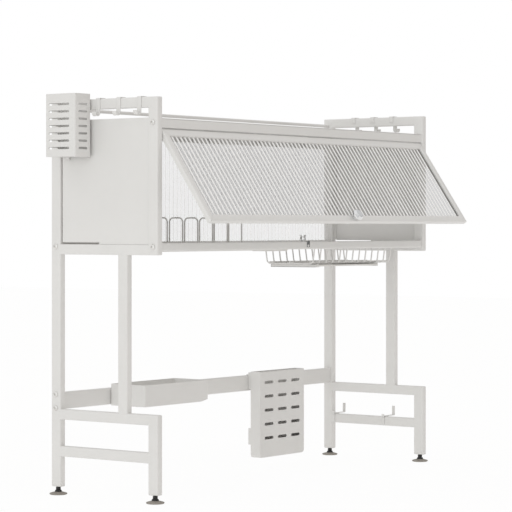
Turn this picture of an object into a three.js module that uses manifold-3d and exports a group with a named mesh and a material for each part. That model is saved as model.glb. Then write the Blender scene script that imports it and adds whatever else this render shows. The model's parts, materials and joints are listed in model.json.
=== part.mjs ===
// Dish drainer cabinet: an over-sink rack with a flip-up reeded door, wire racks, drip trays and hung holders.
// Millimetres, +Z up, front towards -Y, left towards -X. The layout is worked out with X = 0 on the left
// frame's outer face, Y = 0 on the uprights' front face and Z = 0 on the floor, and is centred at the end.
import * as THREE from "three";
import { mergeVertices } from "three/addons/utils/BufferGeometryUtils.js";
import Module from "manifold-3d";

const wasm = await Module();
wasm.setup();

// Overall size and the clearances that every fit uses
const overall = { length: 962, depth: 271, height: 780 };
const gap = 0.3;
const overrun = 2;
const weld = 1e-4;

// Side frames: welded rectangular tube
const tube = { thick: 15, wide: 23.6, bar: 20.4, edge: 2 };
const level = { lowerRail: 76.5, stepBar: 149.4, cabinetBelowTop: 304.2, shelfBelowTop: 40.8 };
const midPostSetback = 75.7;

// Rails between the side frames
const rail = { setback: 3, depth: 15, edge: 2, frontTop: 17.7, backTop: 28, bottom: 16, aboveCabinet: 7.8 };
const ledge = { width: 7, sheet: 1.2 };
const shelfSheet = { sheet: 1.2, lip: 9 };
const backBar = { base: 168.6, height: 33.4, depth: 12, wall: 1.5, endPlate: 2, setback: 5.6 };
const guard = { diameter: 7, belowTop: 16, socket: 5 };

// Fasteners and feet
const screw = { head: 11, crown: 6, headHeight: 3.2, rim: 1.4, shank: 4, length: 26, sides: 10 };
const screwRise = { frontTop: 10.7, bottom: 8, backTop: 14, barInset: 3.2 };
const foot = { height: 16, base: 35.5, baseHeight: 5.7, baseRim: 3, baseCrown: 18, chamfer: 1.4, socket: 3,
  stem: 7, collar: 14, collarHeight: 3.4, nut: 9.6, nutBelowPost: 1, reach: 22, sides: 16 };

// Panels
const sidePanel = { sheet: 1.2, inset: 2, rearGap: 3.4, slit: 3.4, skirt: 124, rise: 1 };
const reed = { pitch: 13.1, base: 2.3, crown: 1.2, steps: 3 };
const backPanel = { inset: 4, grip: 5 };

// Door, drawn closed about its hinge axis
const hinge = { y: 5.5, belowRail: 8.9, openDegrees: 34.5, pin: 5, inFrame: 7, inDoor: 10 };
const door = { baseGap: 2.8, thick: 10, member: 15, sideGap: 1.5, aboveAxis: 5, edge: 0.8, grip: 4 };
const panelTab = { count: 5, spacing: 160, width: 20, drop: 8, hold: 2, sheet: 2.9 };
const catchPoint = { x: 503, rise: 8 };
const knob = { reach: 17.5, base: 10, neck: 6, back: 18, rim: 27, flank: 3.5, band: 3.5, face: 19, bore: 8,
  sides: 8 };
const striker = { shank: 4, washer: 8, washerThick: 1.5, neck: 2.2, ball: 6.8, sides: 10 };
const clip = { width: 10, sheet: 0.8, frontDrop: 13, rearDrop: 6, prongSheet: 1, prongDepth: 5, prongStart: 14,
  root: 2.5, bulge: 7.5, waist: 5.4, tip: 8.5, bulgeRise: 3.5, waistRise: 9, tipRise: 12.5 };
const clipScrew = { head: 5.5, headHeight: 1.6, shank: 2.5, length: 8, rise: 7.5, sides: 8 };

// Wire racks and drip trays
const wire = { thin: 3, rim: 4, chamferShare: 0.29, weldDepth: 0.4, bendSteps: 2 };
const leftTray = { basketGap: 21, sideGap: 3, sheet: 1, wall: 7.4, drop: 3.2 };
const sump = { width: 69, depth: 40, drop: 1.9, rightInset: 2 };
const plateRack = { endInset: 6, pitch: 24.7, loopFront: 100, loopWidth: 34, loopHeight: 57, loopBend: 9 };
const basket = { length: 455, rightGap: 9, railGap: 1.5, flatLength: 80, deepCount: 13, pitch: 24.7,
  front: 27.5, rear: 158, taper: 5.5, drop: 31.6, topBend: 5, floorBend: 9, crossInset: 7 };
const runner = { leftInset: 12, rightInset: 44.4, sheet: 1.2, lip: 14, inner: 4.4, front: 34, rear: 152 };
const pullTray = { sheet: 1, height: 3.6 };

// Hung holders
const utensil = { width: 47, length: 77, height: 123, belowTop: 113, rearInset: 29, standOff: 3.3, wall: 1.5,
  corner: 4, slotRows: 7, slotPitch: 14.25, slotTop: 20.8, slotHigh: 4.4, slotShift: 3, sideSlot: 52.5,
  endSlot: 26.3, drainInset: 9, drainRows: 3 };
const strap = { sheet: 1.5, utensilWidth: 30, barWidth: 24, innerDrop: 13, wallHold: 13 };
const utensilLug = { width: 8, height: 5, hold: 5, rearInset: 17 };
const knives = { rightInset: 167, width: 168, thick: 26.5, base: 21.5, height: 189.5, wall: 1.5, corner: 8,
  edge: 1.2, standOff: 7, slotLength: 33, slotHigh: 6.5, columns: 3, columnPitch: 50, rows: 5, rowPitch: 30.7,
  topRow: 24 };
const cheek = { sheet: 1.5, upperBase: 172, upperTop: 209, lowerBase: 50, lowerTop: 86 };
const caddy = { left: 158, width: 210, depth: 91, base: 167, height: 44, wall: 1.5, corner: 5, slantWidth: 25,
  slantHeight: 4.5, drainCount: 6 };
const drain = { width: 5, inset: 14 };
const sideHook = { width: 10, sheet: 1.5, dropBelowBar: 13, reach: 12, tip: 8, bend: 5.5, bendSteps: 4,
  innerDrop: 12, utensilGap: 11.3, leftFirst: 44.7, rightFirst: 84, count: 3 };
const bracket = { width: 7, sheet: 1.5, reach: 28.7, frontPlace: 106, rearInset: 28, upstand: 22, lip: 5.7,
  innerLeg: 18, outerLeg: 12 };

// Places that follow from the sizes above
const postFront = overall.depth - tube.wide;
const postCentre = overall.depth - tube.wide / 2;
const innerLeft = tube.thick;
const innerRight = overall.length - tube.thick;
const cabinetBase = overall.height - level.cabinetBelowTop;
const sideRailTop = cabinetBase + tube.bar;
const railBase = cabinetBase + rail.aboveCabinet;
const barTop = overall.height;
const shelfTop = overall.height - level.shelfBelowTop;
const frontRail = [rail.setback, rail.setback + rail.depth];
const backRail = [overall.depth - frontRail[1], overall.depth - frontRail[0]];
const shelfUnder = shelfTop - shelfSheet.sheet;
const bottomRailTop = railBase + rail.bottom;
const guardCentre = overall.height - guard.belowTop;
const backPanelFront = backRail[0] + backPanel.inset;
const hingeZ = shelfUnder - rail.frontTop - hinge.belowRail;
const ledgeTop = railBase + ledge.sheet;
const barFront = postFront + backBar.setback;
const barRear = barFront + backBar.depth;
const backBarTop = backBar.base + backBar.height;
const reedThick = reed.base + reed.crown;
const utensilY = [overall.depth - utensil.rearInset - utensil.length, overall.depth - utensil.rearInset];
const lastHook = utensilY[0] - sideHook.utensilGap - sideHook.width / 2;
const hookSpacing = (lastHook - sideHook.leftFirst) / (sideHook.count - 1);
const basketX = [innerRight - basket.rightGap - basket.length, innerRight - basket.rightGap];
const deepFirst = basketX[0] + basket.flatLength;
const deepLast = deepFirst + (basket.deepCount - 1) * basket.pitch;
const basketFloor = railBase - basket.drop;

// Finishes
const powderWhite = { color: 0xdedcd7, roughness: 0.45, metalness: 0 };
const sheetWhite = { color: 0xe2e1de, roughness: 0.35, metalness: 0 };
const clearReed = { color: 0xe6ebeb, roughness: 0.15, metalness: 0, transparent: true, opacity: 0.45 };
const chrome = { color: 0xd4d6d8, roughness: 0.15, metalness: 1 };
const steel = { color: 0xc8c6c2, roughness: 0.35, metalness: 0.9 };
const blackPlastic = { color: 0x1b1a19, roughness: 0.5, metalness: 0 };
const footGrey = { color: 0x8d857c, roughness: 0.6, metalness: 0 };
const trayWhite = { color: 0xd9d7d2, roughness: 0.4, metalness: 0 };

const model = new THREE.Group();

// Solids and booleans

function solid(geometry) {
  const bare = geometry.index ? geometry.toNonIndexed() : geometry.clone();
  bare.deleteAttribute("normal");
  bare.deleteAttribute("uv");
  const merged = mergeVertices(bare, weld);
  const vertProperties = merged.attributes.position.array;
  const triVerts = new Uint32Array(merged.index.array);
  return new wasm.Manifold(new wasm.Mesh({ numProp: 3, vertProperties, triVerts }));
}

function geometryOf(body) {
  const { vertProperties, triVerts } = body.getMesh();
  const geometry = new THREE.BufferGeometry();
  geometry.setAttribute("position", new THREE.BufferAttribute(new Float32Array(vertProperties), 3));
  geometry.setIndex(new THREE.BufferAttribute(new Uint32Array(triVerts), 1));
  geometry.computeVertexNormals();
  return geometry;
}

function join(geometries) {
  return geometryOf(geometries.map(solid).reduce((sum, part) => sum.add(part)));
}

function cut(geometry, tools) {
  return geometryOf(tools.map(solid).reduce((rest, tool) => rest.subtract(tool), solid(geometry)));
}

function common(one, other) {
  return geometryOf(solid(one).intersect(solid(other)));
}

// Shapes

function slab([x0, x1], [y0, y1], [z0, z1]) {
  const box = new THREE.BoxGeometry(x1 - x0, y1 - y0, z1 - z0);
  return box.translate((x0 + x1) / 2, (y0 + y1) / 2, (z0 + z1) / 2);
}

function polygon(points) {
  return new THREE.Shape(points.map(([a, b]) => new THREE.Vector2(a, b)));
}

function rectangle([a0, a1], [b0, b1]) {
  return polygon([[a0, b0], [a1, b0], [a1, b1], [a0, b1]]);
}

// Rectangle whose corners have the radii low (at the smaller b) and high (at the larger b).
function roundedRectangle([a0, a1], [b0, b1], low, high = low) {
  const shape = new THREE.Shape();
  shape.moveTo(a0 + low, b0);
  shape.lineTo(a1 - low, b0);
  if (low > 0) shape.absarc(a1 - low, b0 + low, low, -Math.PI / 2, 0);
  shape.lineTo(a1, b1 - high);
  if (high > 0) shape.absarc(a1 - high, b1 - high, high, 0, Math.PI / 2);
  shape.lineTo(a0 + high, b1);
  if (high > 0) shape.absarc(a0 + high, b1 - high, high, Math.PI / 2, Math.PI);
  shape.lineTo(a0, b0 + low);
  if (low > 0) shape.absarc(a0 + low, b0 + low, low, Math.PI, Math.PI * 1.5);
  return shape;
}

function extrude(shape, length, edge, steps) {
  return new THREE.ExtrudeGeometry(shape, {
    depth: length - 2 * edge,
    curveSegments: steps,
    bevelEnabled: edge > 0,
    bevelThickness: edge,
    bevelSize: edge,
    bevelOffset: -edge,
    bevelSegments: edge > 1 ? 2 : 1,
  }).translate(0, 0, edge);
}

// An outline in Y and Z, drawn along X.
function alongX(shape, [x0, x1], edge = 0, steps = 2) {
  const turn = new THREE.Matrix4().makeBasis(
    new THREE.Vector3(0, 1, 0), new THREE.Vector3(0, 0, 1), new THREE.Vector3(1, 0, 0));
  return extrude(shape, x1 - x0, edge, steps).applyMatrix4(turn).translate(x0, 0, 0);
}

// An outline in X and Z, drawn along Y.
function alongY(shape, [y0, y1], edge = 0, steps = 2) {
  const turn = new THREE.Matrix4().makeBasis(
    new THREE.Vector3(1, 0, 0), new THREE.Vector3(0, 0, 1), new THREE.Vector3(0, -1, 0));
  return extrude(shape, y1 - y0, edge, steps).applyMatrix4(turn).translate(0, y1, 0);
}

// An outline in X and Y, drawn along Z.
function alongZ(shape, [z0, z1], edge = 0, steps = 2) {
  return extrude(shape, z1 - z0, edge, steps).translate(0, 0, z0);
}

function rodX(diameter, [x0, x1], y, z, sides = 8) {
  const rod = new THREE.CylinderGeometry(diameter / 2, diameter / 2, x1 - x0, sides);
  return rod.rotateZ(Math.PI / 2).translate((x0 + x1) / 2, y, z);
}

function rodY(diameter, x, [y0, y1], z, sides = 8) {
  return new THREE.CylinderGeometry(diameter / 2, diameter / 2, y1 - y0, sides).translate(x, (y0 + y1) / 2, z);
}

function rodZ(diameter, x, y, [z0, z1], sides = 8) {
  const rod = new THREE.CylinderGeometry(diameter / 2, diameter / 2, z1 - z0, sides);
  return rod.rotateX(Math.PI / 2).translate(x, y, (z0 + z1) / 2);
}

// A turned piece about Z from [radius, height] pairs that start and end on the axis, heights rising.
function turned(profile, sides) {
  const lathe = new THREE.LatheGeometry(profile.map(([r, h]) => new THREE.Vector2(r, h)), sides);
  return lathe.rotateX(Math.PI / 2);
}

// Corner points with each inner corner rounded to a radius.
function rounded(corners, radii, steps = wire.bendSteps) {
  const path = [];
  corners.forEach(([a, b], i) => {
    const corner = new THREE.Vector2(a, b);
    const radius = Array.isArray(radii) ? radii[i] : radii;
    if (i === 0 || i === corners.length - 1 || radius === 0) {
      path.push(corner);
      return;
    }
    const into = corner.clone().sub(new THREE.Vector2(...corners[i - 1])).normalize();
    const out = new THREE.Vector2(...corners[i + 1]).sub(corner).normalize();
    const reach = radius * Math.tan(Math.acos(into.dot(out)) / 2);
    const curve = new THREE.QuadraticBezierCurve(
      corner.clone().addScaledVector(into, -reach), corner, corner.clone().addScaledVector(out, reach));
    path.push(...curve.getPoints(steps));
  });
  return path;
}

// Outline of a strip of the given thickness centred on a path.
function strip(path, thickness) {
  const upper = [];
  const lower = [];
  path.forEach((point, i) => {
    const into = point.clone().sub(path[Math.max(i - 1, 0)]).normalize();
    const out = path[Math.min(i + 1, path.length - 1)].clone().sub(point).normalize();
    const side = into.clone().add(out).normalize();
    const normal = new THREE.Vector2(-side.y, side.x);
    const run = i > 0 ? into : out;
    const reach = thickness / 2 / normal.dot(new THREE.Vector2(-run.y, run.x));
    upper.push(point.clone().addScaledVector(normal, reach));
    lower.unshift(point.clone().addScaledVector(normal, -reach));
  });
  return new THREE.Shape([...upper, ...lower]);
}

// A bent wire in a plane of constant X.
function bentWire(corners, radii, x, diameter) {
  const chamfer = diameter * wire.chamferShare;
  return alongX(strip(rounded(corners, radii), diameter), [x - diameter / 2, x + diameter / 2], chamfer);
}

function add(name, geometry, finish, parent = model) {
  const mesh = new THREE.Mesh(geometry, new THREE.MeshStandardMaterial(finish));
  mesh.name = name;
  parent.add(mesh);
}

// A range on the left, mirrored to the right-hand side of the part.
function onSide(side, [x0, x1]) {
  return side === "left" ? [x0, x1] : [overall.length - x1, overall.length - x0];
}

function centred(middle, width) {
  return [middle - width / 2, middle + width / 2];
}

// Side frames

const screwPlaces = {
  front_top: [tube.wide / 2, shelfUnder - rail.frontTop + screwRise.frontTop],
  front_bottom: [tube.wide / 2, railBase + screwRise.bottom],
  back_top: [postCentre, shelfUnder - rail.backTop + screwRise.backTop],
  back_bottom: [postCentre, railBase + screwRise.bottom],
  bar_upper: [postCentre, backBarTop - screwRise.barInset],
  bar_lower: [postCentre, backBar.base + screwRise.barInset],
};
const legCentres = [tube.wide / 2, postCentre];

// Tube members of a side frame; each bar runs into the posts far enough for the rounded edges to meet.
function frameMembers(x) {
  const merge = 2 * tube.edge;
  const posts = [
    [[0, tube.wide], [cabinetBase, barTop]],
    [[0, tube.wide], [foot.height, level.stepBar + tube.bar]],
    [[midPostSetback, midPostSetback + tube.wide], [level.stepBar + tube.bar - merge, cabinetBase + merge]],
    [[postFront, overall.depth], [foot.height, barTop]],
  ];
  const bars = [level.lowerRail, level.stepBar, cabinetBase, barTop - tube.bar].map((z) =>
    [[tube.wide - merge, postFront + merge], [z, z + tube.bar]]);
  return [...posts, ...bars].map(([y, z]) => alongX(rectangle(y, z), x, tube.edge));
}

function sideFrame(side) {
  const bores = Object.values(screwPlaces).map(([y, z]) =>
    rodX(screw.shank + 2 * gap, onSide(side, [-overrun, tube.thick + overrun]), y, z));
  const sockets = [
    rodX(guard.diameter + 2 * gap, onSide(side, [tube.thick - guard.socket - gap, tube.thick + overrun]),
      postCentre, guardCentre, foot.sides),
    rodX(hinge.pin + 2 * gap, onSide(side, [tube.thick - hinge.inFrame - gap, tube.thick + overrun]),
      hinge.y, hingeZ),
  ];
  const [legX] = onSide(side, [tube.thick / 2, tube.thick / 2]);
  const footHoles = legCentres.map((y) =>
    rodZ(foot.stem + 2 * gap, legX, y, [foot.height - overrun, foot.height + foot.reach + gap], foot.sides));
  const body = join(frameMembers(onSide(side, [0, tube.thick])));
  add(side + "_side_frame", cut(body, [...bores, ...sockets, ...footHoles]), powderWhite);
}

// A plate that stands on the side rail, with a slit under its rear part and a gap before the back post.
function sidePanelPiece(side) {
  const y = [tube.wide + gap, postFront - sidePanel.rearGap];
  const z = [sideRailTop + gap, sideRailTop + sidePanel.slit, shelfTop + sidePanel.rise];
  const skirtEnd = y[0] + sidePanel.skirt;
  const outline = polygon([
    [y[0], z[0]], [skirtEnd, z[0]], [skirtEnd, z[1]], [y[1], z[1]], [y[1], z[2]], [y[0], z[2]],
  ]);
  const x = onSide(side, [sidePanel.inset, sidePanel.inset + sidePanel.sheet]);
  add(side + "_side_panel", alongX(outline, x), sheetWhite);
}

function frameScrew(side, name) {
  const [y, z] = screwPlaces[name];
  const { head, crown, headHeight, rim, shank, length, sides } = screw;
  const shape = turned([
    [0, -length], [shank / 2, -length], [shank / 2, 0], [head / 2, 0], [head / 2, rim],
    [crown / 2, headHeight], [0, headHeight],
  ], sides);
  const turnOut = side === "left" ? -Math.PI / 2 : Math.PI / 2;
  const [x] = onSide(side, [0, 0]);
  add("screw_" + name + "_" + side, shape.rotateY(turnOut).translate(x, y, z), steel);
}

function levellingFoot(side, y, place) {
  const [x] = onSide(side, [tube.thick / 2, tube.thick / 2]);
  const { base, baseHeight, baseRim, baseCrown, chamfer, socket } = foot;
  const { stem, collar, nut, reach, height, sides } = foot;
  const collarBase = baseHeight + gap;
  const nutTop = height - foot.nutBelowPost;
  const stemShape = turned([
    [0, baseHeight - socket + gap], [stem / 2, baseHeight - socket + gap], [stem / 2, collarBase],
    [collar / 2, collarBase], [nut / 2, collarBase + foot.collarHeight], [nut / 2, nutTop], [stem / 2, nutTop],
    [stem / 2, height + reach], [0, height + reach],
  ], sides);
  const baseShape = turned([
    [0, 0], [base / 2 - chamfer, 0], [base / 2, chamfer], [base / 2, baseRim], [baseCrown / 2, baseHeight],
    [stem / 2 + gap, baseHeight], [stem / 2 + gap, baseHeight - socket], [0, baseHeight - socket],
  ], sides);
  add("foot_stem_" + place + "_" + side, stemShape.translate(x, y, 0), blackPlastic);
  add("foot_base_" + place + "_" + side, baseShape.translate(x, y, 0), footGrey);
}

// Rails, shelf and back

function railScrewHoles(names) {
  const reach = screw.length - tube.thick + gap;
  return names.flatMap((name) => {
    const [y, z] = screwPlaces[name];
    return ["left", "right"].map((side) =>
      rodX(screw.shank + 2 * gap, onSide(side, [innerLeft - overrun, innerLeft + reach]), y, z));
  });
}

function reedOutline([x0, x1], back) {
  const count = Math.floor((x1 - x0) / reed.pitch);
  const flat = (x1 - x0 - count * reed.pitch) / 2;
  const points = [[x1, back], [x0, back], [x0, back - reed.base]];
  for (let i = 0; i < count; i += 1) {
    for (let step = 0; step < reed.steps; step += 1) {
      const share = step / reed.steps;
      points.push([
        x0 + flat + (i + share) * reed.pitch,
        back - reed.base - reed.crown * Math.sin(Math.PI * share),
      ]);
    }
  }
  points.push([x1 - flat, back - reed.base], [x1, back - reed.base]);
  return polygon(points.filter(([x, y], i) => i === 0 || x !== points[i - 1][0] || y !== points[i - 1][1]));
}

function rails() {
  const x = [innerLeft, innerRight];
  const panelSlot = [backPanelFront - gap, backPanelFront + reedThick + gap];
  const frontTop = alongX(roundedRectangle(frontRail, [shelfUnder - rail.frontTop, shelfUnder], rail.edge), x);
  add("front_top_rail", cut(frontTop, railScrewHoles(["front_top"])), powderWhite);

  const backTopBase = shelfUnder - rail.backTop;
  const backTop = alongX(roundedRectangle(backRail, [backTopBase, shelfUnder], rail.edge), x);
  const topSlot = slab([x[0] - overrun, x[1] + overrun], panelSlot,
    [backTopBase - overrun, backTopBase + backPanel.grip + gap]);
  add("back_top_rail", cut(backTop, [topSlot, ...railScrewHoles(["back_top"])]), powderWhite);

  const bottomZ = [railBase, bottomRailTop];
  const ledgeZ = [railBase, ledgeTop];
  const front = join([
    alongX(roundedRectangle(frontRail, bottomZ, rail.edge), x),
    slab(x, [frontRail[1] - rail.depth / 2, frontRail[1] + ledge.width], ledgeZ),
  ]);
  const clipHole = rodY(clipScrew.shank + 2 * gap, catchPoint.x,
    [frontRail[0] - overrun, frontRail[0] + clipScrew.length + gap], railBase + clipScrew.rise);
  add("front_bottom_rail", cut(front, [clipHole, ...railScrewHoles(["front_bottom"])]), powderWhite);

  const back = join([
    alongX(roundedRectangle(backRail, bottomZ, rail.edge), x),
    slab(x, [backRail[0] - ledge.width, backRail[0] + rail.depth / 2], ledgeZ),
  ]);
  const bottomSlot = slab([x[0] - overrun, x[1] + overrun], panelSlot,
    [bottomRailTop - backPanel.grip - gap, bottomRailTop + overrun]);
  add("back_bottom_rail", cut(back, [bottomSlot, ...railScrewHoles(["back_bottom"])]), powderWhite);

  const panelX = [innerLeft + gap, innerRight - gap];
  const panelZ = [bottomRailTop - backPanel.grip, backTopBase + backPanel.grip];
  add("back_panel", alongZ(reedOutline(panelX, backPanelFront + reedThick), panelZ), clearReed);
}

function shelf() {
  const x = [innerLeft + gap, innerRight - gap];
  const plate = slab(x, [frontRail[0], backRail[1]], [shelfUnder, shelfTop]);
  const lipY = [frontRail[1] + gap, backRail[0] - gap];
  const lips = ["left", "right"].map((side) =>
    slab(onSide(side, [x[0], x[0] + shelfSheet.sheet]), lipY, [shelfUnder - shelfSheet.lip, shelfTop]));
  add("top_shelf", join([plate, ...lips]), sheetWhite);
}

function lowerBackBar() {
  const { wall, base } = backBar;
  const channel = polygon([
    [barFront, base], [barRear, base], [barRear, base + wall], [barFront + wall, base + wall],
    [barFront + wall, backBarTop - wall], [barRear, backBarTop - wall], [barRear, backBarTop],
    [barFront, backBarTop],
  ]);
  const plates = ["left", "right"].map((side) =>
    slab(onSide(side, [innerLeft, innerLeft + backBar.endPlate]), [barFront, barRear], [base, backBarTop]));
  const body = join([alongX(channel, [innerLeft, innerRight]), ...plates]);
  add("lower_back_bar", cut(body, railScrewHoles(["bar_upper", "bar_lower"])), powderWhite);
}

function guardRod() {
  const x = [innerLeft - guard.socket, innerRight + guard.socket];
  add("rear_guard_rod", rodX(guard.diameter, x, postCentre, guardCentre, foot.sides), powderWhite);
}

// Door: built closed about its hinge axis, then swung open to the photographed angle

const doorX = [innerLeft + door.sideGap, innerRight - door.sideGap];
const doorTop = door.aboveAxis;
const doorBase = bottomRailTop + door.baseGap - hingeZ;

function doorMember(corners) {
  return alongY(polygon(corners), centred(0, door.thick), door.edge);
}

function doorFrame(group) {
  const m = door.member;
  const slot = slab(
    [doorX[0] + m - door.grip - gap, doorX[1] - m + door.grip + gap],
    centred(0, reedThick + 2 * gap),
    [doorBase + m - door.grip - gap, doorTop - m + door.grip + gap]);
  const pinHoles = ["left", "right"].map((side) =>
    rodX(hinge.pin + 2 * gap, onSide(side, [doorX[0] - overrun, doorX[0] + hinge.inDoor + gap]), 0, 0));
  const knobHole = rodY(striker.shank + 2 * gap, catchPoint.x, centred(0, door.thick + 2 * overrun),
    doorBase + catchPoint.rise);
  const across = [doorX[0] + gap, doorX[0] + m + gap, doorX[1] - m - gap, doorX[1] - gap];
  const top = doorMember([[across[0], doorTop], [across[1], doorTop - m], [across[2], doorTop - m],
    [across[3], doorTop]]);
  const bottom = doorMember([[across[0], doorBase], [across[3], doorBase], [across[2], doorBase + m],
    [across[1], doorBase + m]]);
  const tabs = Array.from({ length: panelTab.count }, (_, i) => slab(
    centred((doorX[0] + doorX[1]) / 2 + (i - (panelTab.count - 1) / 2) * panelTab.spacing, panelTab.width),
    [door.thick / 2 - panelTab.sheet, door.thick / 2 - door.edge],
    [doorTop - m - panelTab.drop, doorTop - m + panelTab.hold]));
  add("door_top_member", join([cut(top, [slot, ...pinHoles]), ...tabs]), powderWhite, group);
  add("door_bottom_member", cut(bottom, [slot, knobHole]), powderWhite, group);
  ["left", "right"].forEach((side) => {
    const [x0, x1] = onSide(side, [doorX[0], doorX[0] + m]);
    const [outer, inner] = side === "left" ? [x0, x1] : [x1, x0];
    const upright = doorMember([[outer, doorTop], [outer, doorBase], [inner, doorBase + m],
      [inner, doorTop - m]]);
    add("door_" + side + "_member", cut(upright, [slot, ...pinHoles]), powderWhite, group);
  });
}

function doorPanel(group) {
  const inset = door.member - door.grip;
  const outline = reedOutline([doorX[0] + inset, doorX[1] - inset], reedThick / 2);
  add("door_panel", alongZ(outline, [doorBase + inset, doorTop - inset]), clearReed, group);
}

function doorKnob(group) {
  const z = doorBase + catchPoint.rise;
  const front = door.thick / 2 + gap;
  const bore = striker.shank / 2 + gap;
  const head = knob.neck + knob.flank + knob.band;
  const shape = turned([
    [0, knob.bore], [bore, knob.bore], [bore, 0], [knob.base / 2, 0], [knob.base / 2, knob.neck],
    [knob.back / 2, knob.neck], [knob.rim / 2, knob.neck + knob.flank], [knob.rim / 2, head],
    [knob.face / 2, knob.reach], [0, knob.reach],
  ], knob.sides);
  add("door_knob", shape.rotateX(Math.PI / 2).translate(catchPoint.x, -front, z), chrome, group);

  const rear = door.thick / 2 + gap;
  const ball = striker.ball / 2;
  const ballStart = rear + striker.washerThick + striker.neck;
  const pin = turned([
    [0, gap - front - knob.bore], [striker.shank / 2, gap - front - knob.bore], [striker.shank / 2, rear],
    [striker.washer / 2, rear], [striker.washer / 2, rear + striker.washerThick],
    [striker.shank / 2, rear + striker.washerThick], [striker.shank / 2, ballStart], [ball, ballStart + ball],
    [striker.shank / 2, ballStart + 2 * ball], [0, ballStart + 2 * ball],
  ], striker.sides);
  add("catch_striker", pin.rotateX(-Math.PI / 2).translate(catchPoint.x, 0, z), chrome, group);
}

function hingePins() {
  ["left", "right"].forEach((side) => {
    const x = onSide(side, [innerLeft - hinge.inFrame, doorX[0] + hinge.inDoor]);
    add("hinge_pin_" + side, rodX(hinge.pin, x, hinge.y, hingeZ, striker.sides), steel);
  });
}

function catchClip() {
  const x = centred(catchPoint.x, clip.width);
  const top = bottomRailTop + gap + clip.sheet;
  const y = [frontRail[0] - gap - clip.sheet, frontRail[1] + gap + clip.sheet];
  const prongs = [-1, 1].map((sign) => {
    const path = [
      [clip.root, -clip.sheet / 2], [clip.bulge, clip.bulgeRise], [clip.waist, clip.waistRise],
      [clip.tip, clip.tipRise],
    ].map(([a, b]) => new THREE.Vector2(catchPoint.x + sign * a, top + b));
    return alongY(strip(path, clip.prongSheet), [clip.prongStart, clip.prongStart + clip.prongDepth]);
  });
  const saddle = join([
    slab(x, y, [top - clip.sheet, top]),
    slab(x, [y[0], y[0] + clip.sheet], [top - clip.frontDrop, top]),
    slab(x, [y[1] - clip.sheet, y[1]], [top - clip.rearDrop, top]),
    ...prongs,
  ]);
  const screwZ = railBase + clipScrew.rise;
  const hole = rodY(clipScrew.shank + 2 * gap, catchPoint.x, [y[0] - overrun, y[0] + overrun], screwZ);
  add("catch_clip", cut(saddle, [hole]), chrome);
  const { head, headHeight, shank, length, sides } = clipScrew;
  const shape = turned([[0, -length], [shank / 2, -length], [shank / 2, 0], [head / 2, 0],
    [head / 4, headHeight], [0, headHeight]], sides);
  add("catch_screw", shape.rotateX(Math.PI / 2).translate(catchPoint.x, y[0], screwZ), steel);
}

// Left tray and the plate rack that stands in it

const trayStep = ledgeTop + gap;
const trayX = [innerLeft + leftTray.sideGap, basketX[0] - leftTray.basketGap];
const trayOuter = frontRail[1] + gap;
const trayInner = frontRail[1] + ledge.width + gap;

function leftDripTray() {
  const { sheet, wall, drop } = leftTray;
  const far = overall.depth;
  const floor = trayStep - drop;
  const top = trayStep + sheet + wall;
  const profile = [
    [trayOuter, top], [trayOuter, trayStep], [trayInner, trayStep], [trayInner, floor],
    [far - trayInner, floor], [far - trayInner, trayStep], [far - trayOuter, trayStep], [far - trayOuter, top],
  ];
  const outer = alongX(polygon(profile), trayX);
  const hollow = polygon([
    [trayOuter + sheet, top + overrun], [trayOuter + sheet, trayStep + sheet],
    [trayInner + sheet, trayStep + sheet], [trayInner + sheet, floor + sheet],
    [far - trayInner - sheet, floor + sheet], [far - trayInner - sheet, trayStep + sheet],
    [far - trayOuter - sheet, trayStep + sheet], [far - trayOuter - sheet, top + overrun],
  ]);
  const sumpX = [trayX[1] - sump.rightInset - sump.width, trayX[1] - sump.rightInset];
  const sumpY = [trayInner, trayInner + sump.depth];
  const well = slab([sumpX[0] + sheet, sumpX[1] - sheet], [sumpY[0] + sheet, sumpY[1] - sheet],
    [floor - sump.drop + sheet, floor + sheet + overrun]);
  const pan = cut(outer, [alongX(hollow, [trayX[0] + sheet, trayX[1] - sheet])]);
  const withSump = join([pan, slab(sumpX, sumpY, [floor - sump.drop, floor + sheet])]);
  add("left_drip_tray", cut(withSump, [well]), trayWhite);
}

function leftPlateRack() {
  const rimZ = trayStep + leftTray.sheet + gap + wire.rim / 2;
  const floorZ = rimZ + (wire.rim + wire.thin) / 2 - wire.weldDepth;
  const rimY = trayOuter + leftTray.sheet + gap + wire.rim / 2;
  const farRim = overall.depth - rimY;
  const x = [trayX[0] + plateRack.endInset, trayX[1] - plateRack.endInset];
  const loopRear = plateRack.loopFront + plateRack.loopWidth;
  const pieces = [rimY, farRim].map((y) => rodX(wire.rim, x, y, rimZ));
  const ends = [x[0] + wire.rim / 2, x[1] - wire.rim / 2];
  pieces.push(...ends.map((at) => rodY(wire.rim, at, [rimY, farRim], rimZ)));
  pieces.push(...[plateRack.loopFront, loopRear].map((y) => rodX(wire.thin, ends, y, rimZ)));
  const count = Math.floor((ends[1] - ends[0]) / plateRack.pitch);
  const first = ends[0] + (ends[1] - ends[0] - (count - 2) * plateRack.pitch) / 2;
  for (let i = 0; i < count - 1; i += 1) {
    const at = first + i * plateRack.pitch;
    if (i % 2) {
      pieces.push(rodY(wire.thin, at, [rimY, farRim], floorZ));
    } else {
      const top = floorZ + plateRack.loopHeight;
      const corners = [[rimY, floorZ], [plateRack.loopFront, floorZ], [plateRack.loopFront, top],
        [loopRear, top], [loopRear, floorZ], [farRim, floorZ]];
      pieces.push(bentWire(corners, plateRack.loopBend, at, wire.thin));
    }
  }
  add("left_plate_rack", join(pieces), powderWhite);
}

// Right basket and its pull-out tray

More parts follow.
